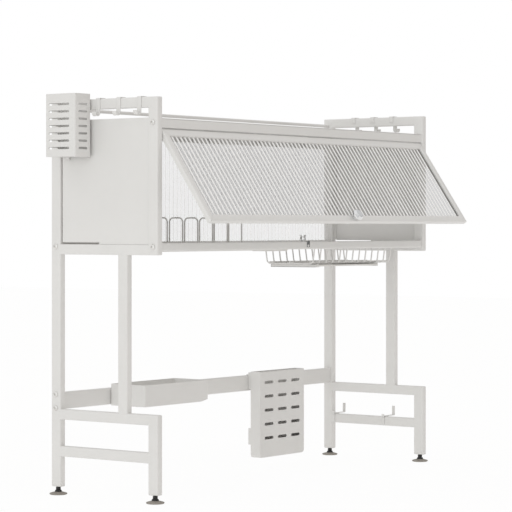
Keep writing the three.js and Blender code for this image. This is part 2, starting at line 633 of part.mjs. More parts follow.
function rightDishBasket() {
  const rimZ = ledgeTop + gap + wire.rim / 2;
  const wireZ = rimZ + (wire.rim + wire.thin) / 2 - wire.weldDepth;
  const rimY = frontRail[1] + basket.railGap + wire.rim / 2;
  const farRim = overall.depth - rimY;
  const x = basketX;
  const pieces = [rimY, farRim].map((y) => rodX(wire.rim, x, y, rimZ));
  const ends = [x[0] + wire.rim / 2, x[1] - wire.rim / 2];
  pieces.push(...ends.map((at) => rodY(wire.rim, at, [rimY, farRim], rimZ)));
  const { deepCount, pitch, front, rear, taper, topBend, floorBend } = basket;
  const floor = basketFloor;
  const flatLeft = Math.floor((deepFirst - x[0]) / pitch);
  const flatRight = Math.floor((x[1] - deepLast) / pitch);
  for (let i = -flatLeft; i < deepCount + flatRight; i += 1) {
    const at = deepFirst + i * pitch;
    if (i < 0 || i >= deepCount) {
      pieces.push(rodY(wire.thin, at, [rimY, farRim], wireZ));
    } else {
      const corners = [[rimY, wireZ], [front, wireZ], [front + taper, floor], [rear - taper, floor],
        [rear, wireZ], [farRim, wireZ]];
      pieces.push(bentWire(corners, [0, topBend, floorBend, floorBend, topBend, 0], at, wire.thin));
    }
  }
  const crossX = [deepFirst - wire.thin / 2, deepLast + wire.thin / 2];
  const crossZ = floor + wire.thin - wire.weldDepth;
  const crossFront = front + taper + basket.crossInset;
  const crossRear = rear - taper - basket.crossInset;
  pieces.push(...[crossFront, (crossFront + crossRear) / 2, crossRear].map((y) =>
    rodX(wire.thin, crossX, y, crossZ)));
  pieces.push(...runners());
  add("right_dish_basket", join(pieces), powderWhite);
}

const runnerTop = basketFloor - wire.thin / 2 + wire.weldDepth;
const runnerBase = runnerTop - 2 * runner.sheet - runner.inner;
const runnerX = [deepFirst + runner.leftInset, deepLast - runner.rightInset];

function runners() {
  const y = [runner.front, runner.rear];
  return ["left", "right"].flatMap((side) => {
    const toInside = side === "left" ? 1 : -1;
    const web = runnerX[side === "left" ? 0 : 1];
    const lip = [web, web + toInside * runner.lip].sort((a, b) => a - b);
    const wall = [web, web + toInside * runner.sheet].sort((a, b) => a - b);
    return [
      slab(lip, y, [runnerTop - runner.sheet, runnerTop]),
      slab(lip, y, [runnerBase, runnerBase + runner.sheet]),
      slab(wall, y, [runnerBase, runnerTop]),
      slab(lip, [y[1] - runner.sheet, y[1]], [runnerBase, runnerTop]),
    ];
  });
}

function pullOutTray() {
  const inset = runner.sheet + gap;
  const x = [runnerX[0] + inset, runnerX[1] - inset];
  const y = [runner.front, runner.rear - runner.sheet - gap];
  const base = runnerBase + runner.sheet + gap;
  const { sheet, height } = pullTray;
  const hollow = slab([x[0] + sheet, x[1] - sheet], [y[0] + sheet, y[1] - sheet],
    [base + sheet, base + height + overrun]);
  add("pull_out_drip_tray", cut(slab(x, y, [base, base + height]), [hollow]), trayWhite);
}

// Holders hung on the bars

function drainSlots([x0, x1], [y0, y1], z, count) {
  const step = (x1 - x0) / count;
  return Array.from({ length: count }, (_, i) =>
    slab(centred(x0 + (i + 1 / 2) * step, drain.width), [y0 + drain.inset, y1 - drain.inset],
      [z - overrun, z + 2 * overrun]));
}

function utensilHolder() {
  const u = utensil;
  const x = [-u.standOff - u.width, -u.standOff];
  const y = utensilY;
  const z = [barTop - u.belowTop, barTop - u.belowTop + u.height];
  const outer = alongZ(roundedRectangle(x, y, u.corner), z, 0, wire.bendSteps + 1);
  const inner = alongZ(roundedRectangle([x[0] + u.wall, x[1] - u.wall], [y[0] + u.wall, y[1] - u.wall],
    u.corner - u.wall), [z[0] + u.wall, z[1] + overrun], 0, wire.bendSteps + 1);
  const yMid = (y[0] + y[1]) / 2;
  const xMid = (x[0] + x[1]) / 2;
  const slots = Array.from({ length: u.slotRows }, (_, i) => {
    const high = centred(z[1] - u.slotTop - i * u.slotPitch, u.slotHigh);
    return [
      slab([x[0] - overrun, x[0] + overrun], centred(yMid + u.slotShift, u.sideSlot), high),
      slab(centred(xMid, u.endSlot), [y[0] - overrun, y[1] + overrun], high),
    ];
  }).flat();
  const drains = drainSlots([x[0] + u.drainInset, x[1] - u.drainInset], y, z[0], u.drainRows);
  const wallX = x[1] - strap.sheet / 2;
  const overZ = barTop + gap + strap.sheet / 2;
  const farX = tube.thick + gap + strap.sheet / 2;
  const hook = alongY(strip(rounded([[wallX, overZ - strap.wallHold], [wallX, overZ], [farX, overZ],
    [farX, overZ - strap.innerDrop]], 0), strap.sheet), centred(yMid, strap.utensilWidth));
  const lug = slab([x[1] - u.wall, -gap], centred(y[1] - utensilLug.rearInset, utensilLug.width),
    [z[0] - utensilLug.height, z[0] + utensilLug.hold]);
  add("utensil_holder", join([cut(outer, [inner, ...slots, ...drains]), hook, lug]), powderWhite);
}

// Strap from a holder's back wall over the lower back bar.
function barStrap(x, wallY) {
  const overZ = backBarTop + gap + strap.sheet / 2;
  const farY = barRear + gap + strap.sheet / 2;
  const path = rounded([[wallY, overZ - strap.wallHold], [wallY, overZ], [farY, overZ],
    [farY, overZ - strap.innerDrop]], 0);
  return alongX(strip(path, strap.sheet), centred(x, strap.barWidth));
}

function knifeHolder() {
  const k = knives;
  const x = [overall.length - k.rightInset - k.width, overall.length - k.rightInset];
  const y = [barFront - k.standOff - k.thick, barFront - k.standOff];
  const z = [k.base, k.base + k.height];
  const outer = alongY(roundedRectangle(x, z, k.corner, 0), y, k.edge, wire.bendSteps + 1);
  const inner = alongY(roundedRectangle([x[0] + k.wall, x[1] - k.wall], [z[0] + k.wall, z[1] + overrun],
    k.corner - k.wall, 0), [y[0] + k.wall, y[1] - k.wall], 0, wire.bendSteps + 1);
  const middle = (x[0] + x[1]) / 2;
  const slots = [];
  for (let row = 0; row < k.rows; row += 1) {
    for (let column = 0; column < k.columns; column += 1) {
      const at = middle + (column - (k.columns - 1) / 2) * k.columnPitch;
      const high = centred(z[1] - k.topRow - row * k.rowPitch, k.slotHigh);
      slots.push(alongY(roundedRectangle(centred(at, k.slotLength), high, k.slotHigh / 2),
        [y[0] - overrun, y[0] + overrun]));
    }
  }
  const drainY = [y[0] - drain.inset / 2, y[1] + drain.inset / 2];
  const drains = drainSlots([x[0] + k.corner, x[1] - k.corner], drainY, z[0], k.columns);
  const cheeks = ["left", "right"].flatMap((side) => {
    const cheekX = side === "left" ? [x[0] + k.edge, x[0] + k.edge + cheek.sheet]
      : [x[1] - k.edge - cheek.sheet, x[1] - k.edge];
    const cheekY = [y[1] - k.wall, barFront - gap];
    return [
      slab(cheekX, cheekY, [cheek.upperBase, cheek.upperTop]),
      slab(cheekX, cheekY, [cheek.lowerBase, cheek.lowerTop]),
    ];
  });
  const wallY = y[1] - strap.sheet / 2;
  const straps = [x[0] + strap.barWidth, x[1] - strap.barWidth].map((at) => barStrap(at, wallY));
  add("knife_holder", join([cut(outer, [inner, ...slots, ...drains]), ...cheeks, ...straps]), powderWhite);
}

// A box with the rounded upright corners of its plan and the slanted right-hand corner of its front view.
function caddyBlock([x0, x1], y, [z0, z1], corner, outset) {
  const slantX = x1 - caddy.slantWidth;
  const front = polygon([[x0 - outset, z0], [slantX, z0], [x1, z0 + caddy.slantHeight], [x1 + outset, z1],
    [x0 - outset, z1]]);
  const tall = [z0 - overrun, z1 + overrun];
  const plan = alongZ(roundedRectangle([x0, x1], y, corner), tall, 0, wire.bendSteps + 1);
  return common(plan, alongY(front, [y[0] - overrun, y[1] + overrun]));
}

function hangingCaddy() {
  const c = caddy;
  const x = [c.left, c.left + c.width];
  const y = [barFront - gap - c.depth, barFront - gap];
  const z = [c.base, c.base + c.height];
  const outer = caddyBlock(x, y, z, c.corner, overrun);
  const inner = caddyBlock([x[0] + c.wall, x[1] - c.wall], [y[0] + c.wall, y[1] - c.wall],
    [z[0] + c.wall, z[1] + overrun], c.corner - c.wall, overrun);
  const drains = drainSlots([x[0] + c.slantWidth / 2, x[1] - c.slantWidth], y, z[0], c.drainCount);
  const straps = [x[0] + 2 * strap.barWidth, x[1] - 2 * strap.barWidth].map((at) =>
    barStrap(at, y[1] - strap.sheet / 2));
  add("hanging_caddy", join([cut(outer, [inner, ...drains]), ...straps]), powderWhite);
}

// Flat hook over a side bar, with its prong on the outside.
function barHook(side, y, name) {
  const h = sideHook;
  const half = h.sheet / 2;
  const outside = -gap - half;
  const low = barTop - tube.bar - h.dropBelowBar;
  const corners = [
    [tube.thick + gap + half, barTop - h.innerDrop], [tube.thick + gap + half, barTop + gap + half],
    [outside, barTop + gap + half], [outside, low], [outside - h.reach, low], [outside - h.reach, low + h.tip],
  ].map(([x, z]) => [onSide(side, [x, x])[0], z]);
  const path = rounded(corners, [0, 0, 0, h.bend, h.bend, 0], h.bendSteps);
  add(name, alongY(strip(path, h.sheet), centred(y, h.width)), powderWhite);
}

// Bracket over the right lower rail: cutting boards stand on its arm, between its inner lip and its upstand.
function boardBracket(y, name) {
  const b = bracket;
  const railTop = level.lowerRail + tube.bar;
  const across = centred(y, b.width);
  const armZ = [railTop + gap, railTop + gap + b.sheet];
  const innerX = [innerRight - gap - b.sheet, innerRight - gap];
  const outerX = [overall.length + gap, overall.length + gap + b.sheet];
  const end = overall.length + b.reach;
  add(name, join([
    slab(innerX, across, [railTop - b.innerLeg, railTop + b.lip]),
    slab([innerX[0], end], across, armZ),
    slab(outerX, across, [railTop - b.outerLeg, armZ[1]]),
    slab([end - b.sheet, end], across, [armZ[0], railTop + b.upstand]),
  ]), powderWhite);
}

// Assembly

["left", "right"].forEach((side) => {
  sideFrame(side);
  sidePanelPiece(side);
  Object.keys(screwPlaces).forEach((name) => frameScrew(side, name));
  levellingFoot(side, legCentres[0], "front");
  levellingFoot(side, legCentres[1], "back");
});
rails();
shelf();
lowerBackBar();
guardRod();
hingePins();
catchClip();

const doorGroup = new THREE.Group();
doorFrame(doorGroup);
doorPanel(doorGroup);
doorKnob(doorGroup);
doorGroup.position.set(0, hinge.y, hingeZ);
doorGroup.rotation.x = -THREE.MathUtils.degToRad(hinge.openDegrees);
model.add(doorGroup);

leftDripTray();
leftPlateRack();
rightDishBasket();
pullOutTray();
utensilHolder();
knifeHolder();
hangingCaddy();
for (let i = 0; i < sideHook.count; i += 1) {
  barHook("left", sideHook.leftFirst + i * hookSpacing, "left_hook_" + (i + 1));
  barHook("right", sideHook.rightFirst + i * hookSpacing, "right_hook_" + (i + 1));
}
boardBracket(bracket.frontPlace, "board_bracket_front");
boardBracket(overall.depth - bracket.rearInset, "board_bracket_rear");

// The origin is the middle of the whole part's footprint, on the floor.
const bounds = new THREE.Box3().setFromObject(model, true);
const middle = bounds.getCenter(new THREE.Vector3());
model.position.set(-middle.x, -middle.y, 0);

export default model;
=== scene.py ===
"""Looks for the dish drainer cabinet. Metres, same frame as the CAD; sizes named here are millimetres."""

import json
import math

import bmesh
import bpy
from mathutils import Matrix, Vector


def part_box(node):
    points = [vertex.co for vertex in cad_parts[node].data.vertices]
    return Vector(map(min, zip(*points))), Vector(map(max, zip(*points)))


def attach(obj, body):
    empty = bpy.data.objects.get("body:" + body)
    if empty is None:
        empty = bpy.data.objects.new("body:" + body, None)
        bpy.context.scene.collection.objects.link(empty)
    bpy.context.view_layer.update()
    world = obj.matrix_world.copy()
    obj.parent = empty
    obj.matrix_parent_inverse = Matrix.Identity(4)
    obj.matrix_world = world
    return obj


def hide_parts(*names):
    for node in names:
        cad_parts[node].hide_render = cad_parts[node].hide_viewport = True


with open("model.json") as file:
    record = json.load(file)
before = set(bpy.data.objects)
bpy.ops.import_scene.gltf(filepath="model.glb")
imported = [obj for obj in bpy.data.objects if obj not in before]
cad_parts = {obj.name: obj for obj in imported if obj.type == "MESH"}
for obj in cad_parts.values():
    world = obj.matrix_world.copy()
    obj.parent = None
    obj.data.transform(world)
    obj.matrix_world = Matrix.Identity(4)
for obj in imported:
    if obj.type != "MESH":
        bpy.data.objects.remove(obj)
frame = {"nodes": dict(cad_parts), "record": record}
BODY_OF = {}
for body_name, members in frame["record"]["behaviour"]["bodies"].items():
    for member in members:
        BODY_OF[member] = body_name
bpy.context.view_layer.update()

# Layout in millimetres. X = 0: left frame's outer face. Y = 0: front of the uprights. Z = 0: floor.
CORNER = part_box("left_side_frame")[0]
LENGTH, DEPTH, HEIGHT = 962.0, 271.0, 780.0
GAP, OVERLAP, OVERRUN = 0.3, 2.0, 3.0
TUBE, WIDE, BAR, TUBE_EDGE = 15.0, 23.6, 20.4, 2.2
INNER_LEFT, INNER_RIGHT = TUBE, LENGTH - TUBE
LOWER_RAIL, STEP_BAR, CABINET = 76.5, 149.4, 475.8
POST_FRONT = DEPTH - WIDE
POST_CENTRE = DEPTH - WIDE / 2
MID_POST = 75.7
FOOT_TOP = 16.0
FRONT_RAIL, BACK_RAIL = (3.0, 18.0), (253.0, 268.0)
RAIL_BASE, RAIL_TOP, LEDGE_TOP = 483.6, 499.6, 484.8
FRONT_TOP_BASE, BACK_TOP_BASE = 720.3, 710.0
SHELF_UNDER, SHELF_TOP, SHELF_SHEET, SHELF_LIP = 738.0, 739.2, 1.2, 9.0
BAR_FRONT, BAR_REAR, BAR_BASE, BAR_TOP, BAR_WALL = 253.0, 265.0, 168.6, 202.0, 1.5
HINGE_Y, HINGE_Z, OPEN = 5.5, 711.4, 34.5
DOOR_X, DOOR_Z, DOOR_HALF, DOOR_MEMBER = (16.5, 945.5), (-209.0, 5.0), 5.0, 15.0
REED_PITCH, REED_BASE, REED_CROWN = 13.1, 2.3, 1.2
BACK_PANEL_FRONT, BACK_PANEL_TOP, PANEL_GRIP = 257.0, 715.0, 5.0
SHEET, BEND = 1.5, 1.5
HUNG_CLEAR, HOOK_DROP, INTO_WALL = GAP + SHEET / 2, 13.0, 0.9
WIRE, RIM_WIRE, WIRE_PITCH = 3.0, 4.0, 24.7


def at(x, y, z):
    """A layout point in the row frame, in metres."""
    return Vector((CORNER.x + x / 1000, CORNER.y + y / 1000, z / 1000))


def on_side(side, x):
    """A distance from the left outer plane, mirrored for the right-hand side."""
    return x if side == "left" else LENGTH - x


def on_door(x, y, z):
    """The layout point of a door point that is given closed and about the hinge axis."""
    cosine, sine = math.cos(math.radians(-OPEN)), math.sin(math.radians(-OPEN))
    return (x, HINGE_Y + y * cosine - z * sine, HINGE_Z + y * sine + z * cosine)


# Materials

def new_material(name):
    mat = bpy.data.materials.new(name)
    mat.use_nodes = True
    tree = mat.node_tree
    tree.nodes.clear()
    out = tree.nodes.new("ShaderNodeOutputMaterial")
    shader = tree.nodes.new("ShaderNodeBsdfPrincipled")
    tree.links.new(shader.outputs["BSDF"], out.inputs["Surface"])
    coords = tree.nodes.new("ShaderNodeTexCoord")
    return mat, tree, shader, coords.outputs["Object"]


def noise(tree, vector, scale, detail=2.0, roughness=0.5, stretch=None):
    node = tree.nodes.new("ShaderNodeTexNoise")
    node.inputs["Scale"].default_value = scale
    node.inputs["Detail"].default_value = detail
    node.inputs["Roughness"].default_value = roughness
    if stretch:
        mapping = tree.nodes.new("ShaderNodeMapping")
        mapping.inputs["Scale"].default_value = stretch
        tree.links.new(vector, mapping.inputs["Vector"])
        vector = mapping.outputs["Vector"]
    tree.links.new(vector, node.inputs["Vector"])
    return node.outputs["Fac"]


def ramp(tree, fac, low, high, start=0.3, end=0.7):
    """Colour ramp between two colours or greys."""
    node = tree.nodes.new("ShaderNodeValToRGB")
    pair = node.color_ramp.elements
    pair[0].position, pair[1].position = start, end
    for stop, value in zip(pair, (low, high)):
        stop.color = (value, value, value, 1) if isinstance(value, float) else (*value, 1)
    tree.links.new(fac, node.inputs["Fac"])
    return node.outputs["Color"]


def bump(tree, shader, height, strength, distance):
    node = tree.nodes.new("ShaderNodeBump")
    node.inputs["Strength"].default_value = strength
    node.inputs["Distance"].default_value = distance
    tree.links.new(height, node.inputs["Height"])
    tree.links.new(node.outputs["Normal"], shader.inputs["Normal"])


def feed(tree, value, slot):
    """Link a socket, or set a number, on a node's input."""
    if isinstance(value, (int, float)):
        slot.default_value = value
    else:
        tree.links.new(value, slot)


def blended(tree, first, second, factor):
    node = tree.nodes.new("ShaderNodeMix")
    node.data_type = "FLOAT"
    for name, value in (("Factor", factor), ("A", first), ("B", second)):
        feed(tree, value, node.inputs[name])
    return node.outputs["Result"]


def math_node(tree, operation, *values):
    node = tree.nodes.new("ShaderNodeMath")
    node.operation = operation
    for value, slot in zip(values, node.inputs):
        feed(tree, value, slot)
    return node.outputs[0]


def coated(name, low, high, rough, peel, grain, coat=0.0):
    """Powder coat or moulded plastic: faint mottling, orange peel and fine grain."""
    mat, tree, shader, vector = new_material(name)
    mottled = noise(tree, vector, 9.0, 4.0, 0.6)
    tree.links.new(ramp(tree, mottled, low, high), shader.inputs["Base Color"])
    tree.links.new(ramp(tree, noise(tree, vector, 60.0, 3.0), rough[0], rough[1]), shader.inputs["Roughness"])
    height = blended(tree, noise(tree, vector, peel, 2.0), noise(tree, vector, grain, 2.0), 0.35)
    bump(tree, shader, height, 0.2, 0.0003)
    shader.inputs["Coat Weight"].default_value = coat
    shader.inputs["Coat Roughness"].default_value = 0.25
    return mat


def plated(name, low, high, rough, scratch, metallic=1.0):
    """Polished or brushed metal with fine scratches and soft smudges."""
    mat, tree, shader, vector = new_material(name)
    shader.inputs["Metallic"].default_value = metallic
    tree.links.new(ramp(tree, noise(tree, vector, 90.0, 4.0, 0.6), low, high), shader.inputs["Base Color"])
    tree.links.new(ramp(tree, noise(tree, vector, 160.0, 5.0, 0.65), rough[0], rough[1]),
                   shader.inputs["Roughness"])
    bump(tree, shader, noise(tree, vector, scratch, 3.0, 0.7, (1.0, 1.0, 14.0)), 0.08, 0.0001)
    return mat


def reeded(name, valley, crest):
    """Clear reeded plastic with painted light: white and dense between the reeds as a painted highlight,
    dark and clear over their crests as painted shade, in place of the light that the reeds bend.

    valley and crest are (colour, door alpha, back panel alpha). The flat rear face of each panel stays clear,
    and the reed beside the door's right member is painted dark as the shade in the member's slot that holds
    the panel.
    """
    mat, tree, shader, vector = new_material(name)
    split = tree.nodes.new("ShaderNodeSeparateXYZ")
    tree.links.new(vector, split.inputs["Vector"])
    x, y = split.outputs["X"], split.outputs["Y"]
    phase = math_node(tree, "MULTIPLY_ADD", x, 1000.0 / REED_PITCH, REED_PHASE)
    across = math_node(tree, "PINGPONG", phase, REED_CREST)
    streak = noise(tree, vector, 40.0, 3.0, 0.6, (1.0, 0.15, 0.15))
    on_back = math_node(tree, "GREATER_THAN", y, at(0, PANELS_APART, 0).y)
    # Painted shade: a dark strip on the last reed beside the door's right member stands for the shade in the
    # slot that holds the panel.
    groove_shade_start = at(DOOR_X[1] - DOOR_MEMBER - GROOVE_SHADE_WIDTH, 0, 0).x
    groove_shade = math_node(tree, "SUBTRACT", math_node(tree, "GREATER_THAN", x, groove_shade_start), on_back)
    height = math_node(tree, "MAXIMUM", blended(tree, across, streak, 0.12),
                       math_node(tree, "MULTIPLY", groove_shade, REED_CREST))
    turn = math.radians(OPEN)
    facing = tree.nodes.new("ShaderNodeVectorMath")
    facing.operation = "DOT_PRODUCT"
    facing.inputs[1].default_value = (0, math.cos(turn), -math.sin(turn))
    tree.links.new(vector, facing.inputs[0])
    middle = at(*on_door(0, DOOR_REAR_FROM, 0)).dot(facing.inputs[1].default_value)
    door_rear = math_node(tree, "GREATER_THAN", facing.outputs["Value"], middle)
    back_rear = math_node(tree, "GREATER_THAN", y, at(0, BACK_REAR_FROM, 0).y)
    rear = blended(tree, door_rear, back_rear, on_back)
    # Painted light in the colour: white between the reeds is a painted highlight; near black over the crests
    # and beside the right member is painted shade.
    tree.links.new(ramp(tree, height, valley[0], crest[0], 0.24, 0.30), shader.inputs["Base Color"])
    door_alpha = math_node(tree, "MAXIMUM", ramp(tree, height, valley[1], crest[1], 0.24, 0.30),
                           math_node(tree, "MULTIPLY", groove_shade, GROOVE_SHADE_ALPHA))
    back_alpha = ramp(tree, height, valley[2], crest[2], 0.08, 0.22)
    alpha = blended(tree, blended(tree, door_alpha, back_alpha, on_back), REAR_ALPHA, rear)
    tree.links.new(alpha, shader.inputs["Alpha"])
    tree.links.new(ramp(tree, streak, 0.06, 0.14), shader.inputs["Roughness"])
    bump(tree, shader, noise(tree, vector, 500.0, 2.0), 0.05, 0.0002)
    return mat


WHITE_LOW, WHITE_HIGH = (0.770, 0.764, 0.751), (0.798, 0.792, 0.779)
REED_PHASE, REED_CREST = 0.676, 0.5
# The first two values give the width and alpha of the painted shade beside the door's right member.
GROOVE_SHADE_WIDTH, GROOVE_SHADE_ALPHA, REAR_ALPHA = 6.5, 0.72, 0.04
PANELS_APART, DOOR_REAR_FROM, BACK_REAR_FROM = 200.0, 0.6, 259.5
MAT = {
    "frame_tube": coated("powder_white", WHITE_LOW, WHITE_HIGH, (0.42, 0.52), 700.0, 2600.0),
    "sheet_panels": coated("sheet_white", WHITE_LOW, WHITE_HIGH, (0.36, 0.46), 420.0, 2200.0),
    "door_frame": coated("door_white", WHITE_LOW, WHITE_HIGH, (0.38, 0.48), 700.0, 2600.0),
    "hung_holders": coated("holder_white", WHITE_LOW, WHITE_HIGH, (0.38, 0.48), 620.0, 2400.0),
    "wire_racks": coated("wire_white", (0.80, 0.794, 0.78), (0.83, 0.824, 0.81), (0.26, 0.36),
                         300.0, 1500.0, 0.25),
    "trays": coated("tray_white", (0.765, 0.755, 0.733), (0.795, 0.785, 0.762), (0.28, 0.38),
                    240.0, 1900.0, 0.15),
    # The reeded colours are painted light: white valleys as a painted highlight, near-black crests as painted
    # shade.
    "reeded_panels": reeded("reeded_clear", ((0.97, 0.97, 0.965), 0.95, 0.50),
                            ((0.035, 0.030, 0.026), 0.37, 0.16)),
    "chrome_parts": plated("chrome", (0.78, 0.785, 0.79), (0.86, 0.865, 0.87), (0.07, 0.15), 900.0),
    "fasteners": plated("plated_steel", (0.74, 0.73, 0.71), (0.84, 0.83, 0.81), (0.30, 0.42), 1200.0, 0.75),
    "foot_stems": coated("stem_black", (0.010, 0.010, 0.010), (0.018, 0.017, 0.017), (0.34, 0.48),
                         900.0, 3000.0),
    "foot_bases": coated("foot_grey", (0.275, 0.25, 0.222), (0.33, 0.305, 0.272), (0.50, 0.65),
                         600.0, 2600.0),
}
SLOT_OF = {entry["node"]: entry["material_slot"] for entry in frame["record"]["subparts"]}


# Meshes

def finish_piece(obj, node, smooth=38.0, weighted=False):
    """Shade, paint and attach a piece that stands for a CAD node."""
    obj.data.shade_smooth()
    obj.data.set_sharp_from_angle(angle=math.radians(smooth))
    if weighted:
        obj.modifiers.new("normals", "WEIGHTED_NORMAL").keep_sharp = True
        applied(obj)
    obj.data.materials.clear()
    obj.data.materials.append(MAT[SLOT_OF[node]])
    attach(obj, BODY_OF[node])
    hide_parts(node)
    return obj


def from_bmesh(bm, name):
    mesh = bpy.data.meshes.new(name)
    bmesh.ops.recalc_face_normals(bm, faces=bm.faces)
    bm.to_mesh(mesh)
    bm.free()
    obj = bpy.data.objects.new(name, mesh)
    bpy.context.scene.collection.objects.link(obj)
    return obj


def applied(obj):
    """The same object with its modifiers applied."""
    bpy.context.view_layer.update()
    graph = bpy.context.evaluated_depsgraph_get()
    mesh = bpy.data.meshes.new_from_object(obj.evaluated_get(graph))
    obj.modifiers.clear()
    obj.data = mesh
    return obj


def merged(obj, *others):
    """One object from several; the others are removed."""
    bm = bmesh.new()
    for part in (obj, *others):
        bm.from_mesh(part.data)
    bm.to_mesh(obj.data)
    bm.free()
    for part in others:
        bpy.data.objects.remove(part)
    return obj


def carved(obj, *tools):
    """The object with each tool's volume cut away; the tools are removed."""
    for tool in tools:
        cutter = obj.modifiers.new("cut", "BOOLEAN")
        cutter.operation = "DIFFERENCE"
        cutter.solver = "EXACT"
        cutter.object = tool
        applied(obj)
        bpy.data.objects.remove(tool)
    return obj


def soften(obj, bevel, segments=2, angle=35.0):
    soft = obj.modifiers.new("edges", "BEVEL")
    soft.width = bevel / 1000
    soft.segments = segments
    soft.limit_method = "ANGLE"
    soft.angle_limit = math.radians(angle)
    return applied(obj)


def refined(node, bevel=0.4, segments=2, angle=28.0):
    """A CAD node's own shape with its sharp edges softened."""
    bm = bmesh.new()
    bm.from_mesh(frame["nodes"][node].data)
    bmesh.ops.remove_doubles(bm, verts=bm.verts, dist=1e-6)
    bmesh.ops.dissolve_limit(bm, angle_limit=math.radians(0.5), verts=bm.verts, edges=bm.edges)
    obj = soften(from_bmesh(bm, node + "_piece"), bevel, segments, angle)
    return finish_piece(obj, node, weighted=True)


def along_x(a, b, depth):
    return (depth, a, b)


def along_y(a, b, depth):
    return (a, depth, b)


def along_z(a, b, depth):
    return (a, b, depth)


def add_prism(bm, outline, place, start, end):
    """An outline swept between two depths; place maps (a, b, depth) to a layout point."""
    near = [bm.verts.new(at(*place(p[0], p[1], start))) for p in outline]
    far = [bm.verts.new(at(*place(p[0], p[1], end))) for p in outline]
    count = len(outline)
    bm.faces.new(near)
    bm.faces.new(far[::-1])
    for i in range(count):
        j = (i + 1) % count
        bm.faces.new((near[i], far[i], far[j], near[j]))


def prism(name, outline, place, start, end):
    bm = bmesh.new()
    add_prism(bm, outline, place, start, end)
    return from_bmesh(bm, name)


def prisms(name, outlines, place, start, end):
    bm = bmesh.new()
    for outline in outlines:
        add_prism(bm, outline, place, start, end)
    return from_bmesh(bm, name)


def block_outline(a, b):
    return [(a[0], b[0]), (a[1], b[0]), (a[1], b[1]), (a[0], b[1])]


def round_outline(a, b, low, high=None, steps=6):
    """A rectangle whose corners have the radii low (at the smaller b) and high (at the larger b)."""
    high = low if high is None else high
    points = []
    for x, y, radius, start in ((a[1], b[0], low, 270), (a[1], b[1], high, 0), (a[0], b[1], high, 90),
                                (a[0], b[0], low, 180)):
        if radius == 0:
            points.append((x, y))
            continue
        cx = x - radius if x == a[1] else x + radius
        cy = y - radius if y == b[1] else y + radius
        for k in range(steps + 1):
            angle = math.radians(start + 90 * k / steps)
            points.append((cx + radius * math.cos(angle), cy + radius * math.sin(angle)))
    return points


def pill(a, b, width, height):
    """A slot outline with round ends about a centre."""
    radius = min(width, height) / 2 - 0.01
    return round_outline((a - width / 2, a + width / 2), (b - height / 2, b + height / 2), radius, steps=5)


def add_block(bm, low, high, radius=0.0, segments=3):
    """A box with rounded edges between two layout corners."""
    a, b = at(*low), at(*high)
    made = bmesh.ops.create_cube(bm, size=1.0)["verts"]
    for vert in made:
        vert.co = Vector([a[i] + (vert.co[i] + 0.5) * (b[i] - a[i]) for i in range(3)])
    if radius > 0:
        edges = list({edge for vert in made for edge in vert.link_edges})
        bmesh.ops.bevel(bm, geom=edges, offset=radius / 1000, segments=segments, profile=0.5, affect="EDGES",
                        clamp_overlap=True)


def arc_path(corners, radii, steps=6):
    """Points in two dimensions with each inner corner rounded by an arc."""
    path = []
    for i, corner in enumerate(corners):
        point = Vector(corner)
        radius = radii[i] if isinstance(radii, (list, tuple)) else radii
        if i in (0, len(corners) - 1) or radius == 0:
            path.append(point)
            continue
        into = (point - Vector(corners[i - 1])).normalized()
        out = (Vector(corners[i + 1]) - point).normalized()
        turn = math.acos(max(-1.0, min(1.0, into.dot(out))))
        start = point - into * radius * math.tan(turn / 2)
        side = Vector((-into.y, into.x))
        if side.dot(out) < 0:
            side = -side
        for step in range(steps + 1):
            a = turn * step / steps
            path.append(start + side * radius * (1 - math.cos(a)) + into * radius * math.sin(a))
    return path


def strip_outline(path, thickness):
    """The outline of a strip of the given thickness centred on a path."""
    left, right = [], []
    for i, point in enumerate(path):
        into = (point - path[i - 1]).normalized() if i else None
        out = (path[i + 1] - point).normalized() if i < len(path) - 1 else None
        into = into or out
        out = out or into
        side = (into + out).normalized()
        normal = Vector((-side.y, side.x))
        reach = thickness / 2 / normal.dot(Vector((-into.y, into.x)))
        left.append(point + normal * reach)
        right.append(point - normal * reach)
    return left + right[::-1]


def bent_strip(name, corners, radii, thickness, place, start, end):
    """A bent sheet strip with softened edges."""
    outline = strip_outline(arc_path(corners, radii), thickness)
    return soften(prism(name, outline, place, start, end), 0.3, 2, 50.0)


def add_lathe(bm, profile, centre, axis, sides=40):
    """A turned solid from (radius, height[, corners]) rows; a row with corners is a polygon of that many."""
    turn = Vector((0, 0, 1)).rotation_difference(Vector(axis)).to_matrix()
    base = at(*centre)
    rings = []
    for radius, height, *corners in profile:
        if radius == 0:
            rings.append([bm.verts.new(base + turn @ Vector((0, 0, height / 1000)))])
            continue
        ring = []
        for k in range(sides):
            angle = 2 * math.pi * k / sides
            reach = radius
            if corners:
                share = math.pi / corners[0]
                reach = radius * math.cos(share) / math.cos((angle + share) % (2 * share) - share)
            ring.append(bm.verts.new(base + turn @ Vector((
                reach / 1000 * math.cos(angle), reach / 1000 * math.sin(angle), height / 1000))))
        rings.append(ring)
    for lower, upper in zip(rings, rings[1:]):
        for k in range(sides):
            m = (k + 1) % sides
            if len(lower) == 1:
                bm.faces.new((lower[0], upper[k], upper[m]))
            elif len(upper) == 1:
                bm.faces.new((lower[k], upper[0], lower[m]))
            else:
                bm.faces.new((lower[k], upper[k], upper[m], lower[m]))


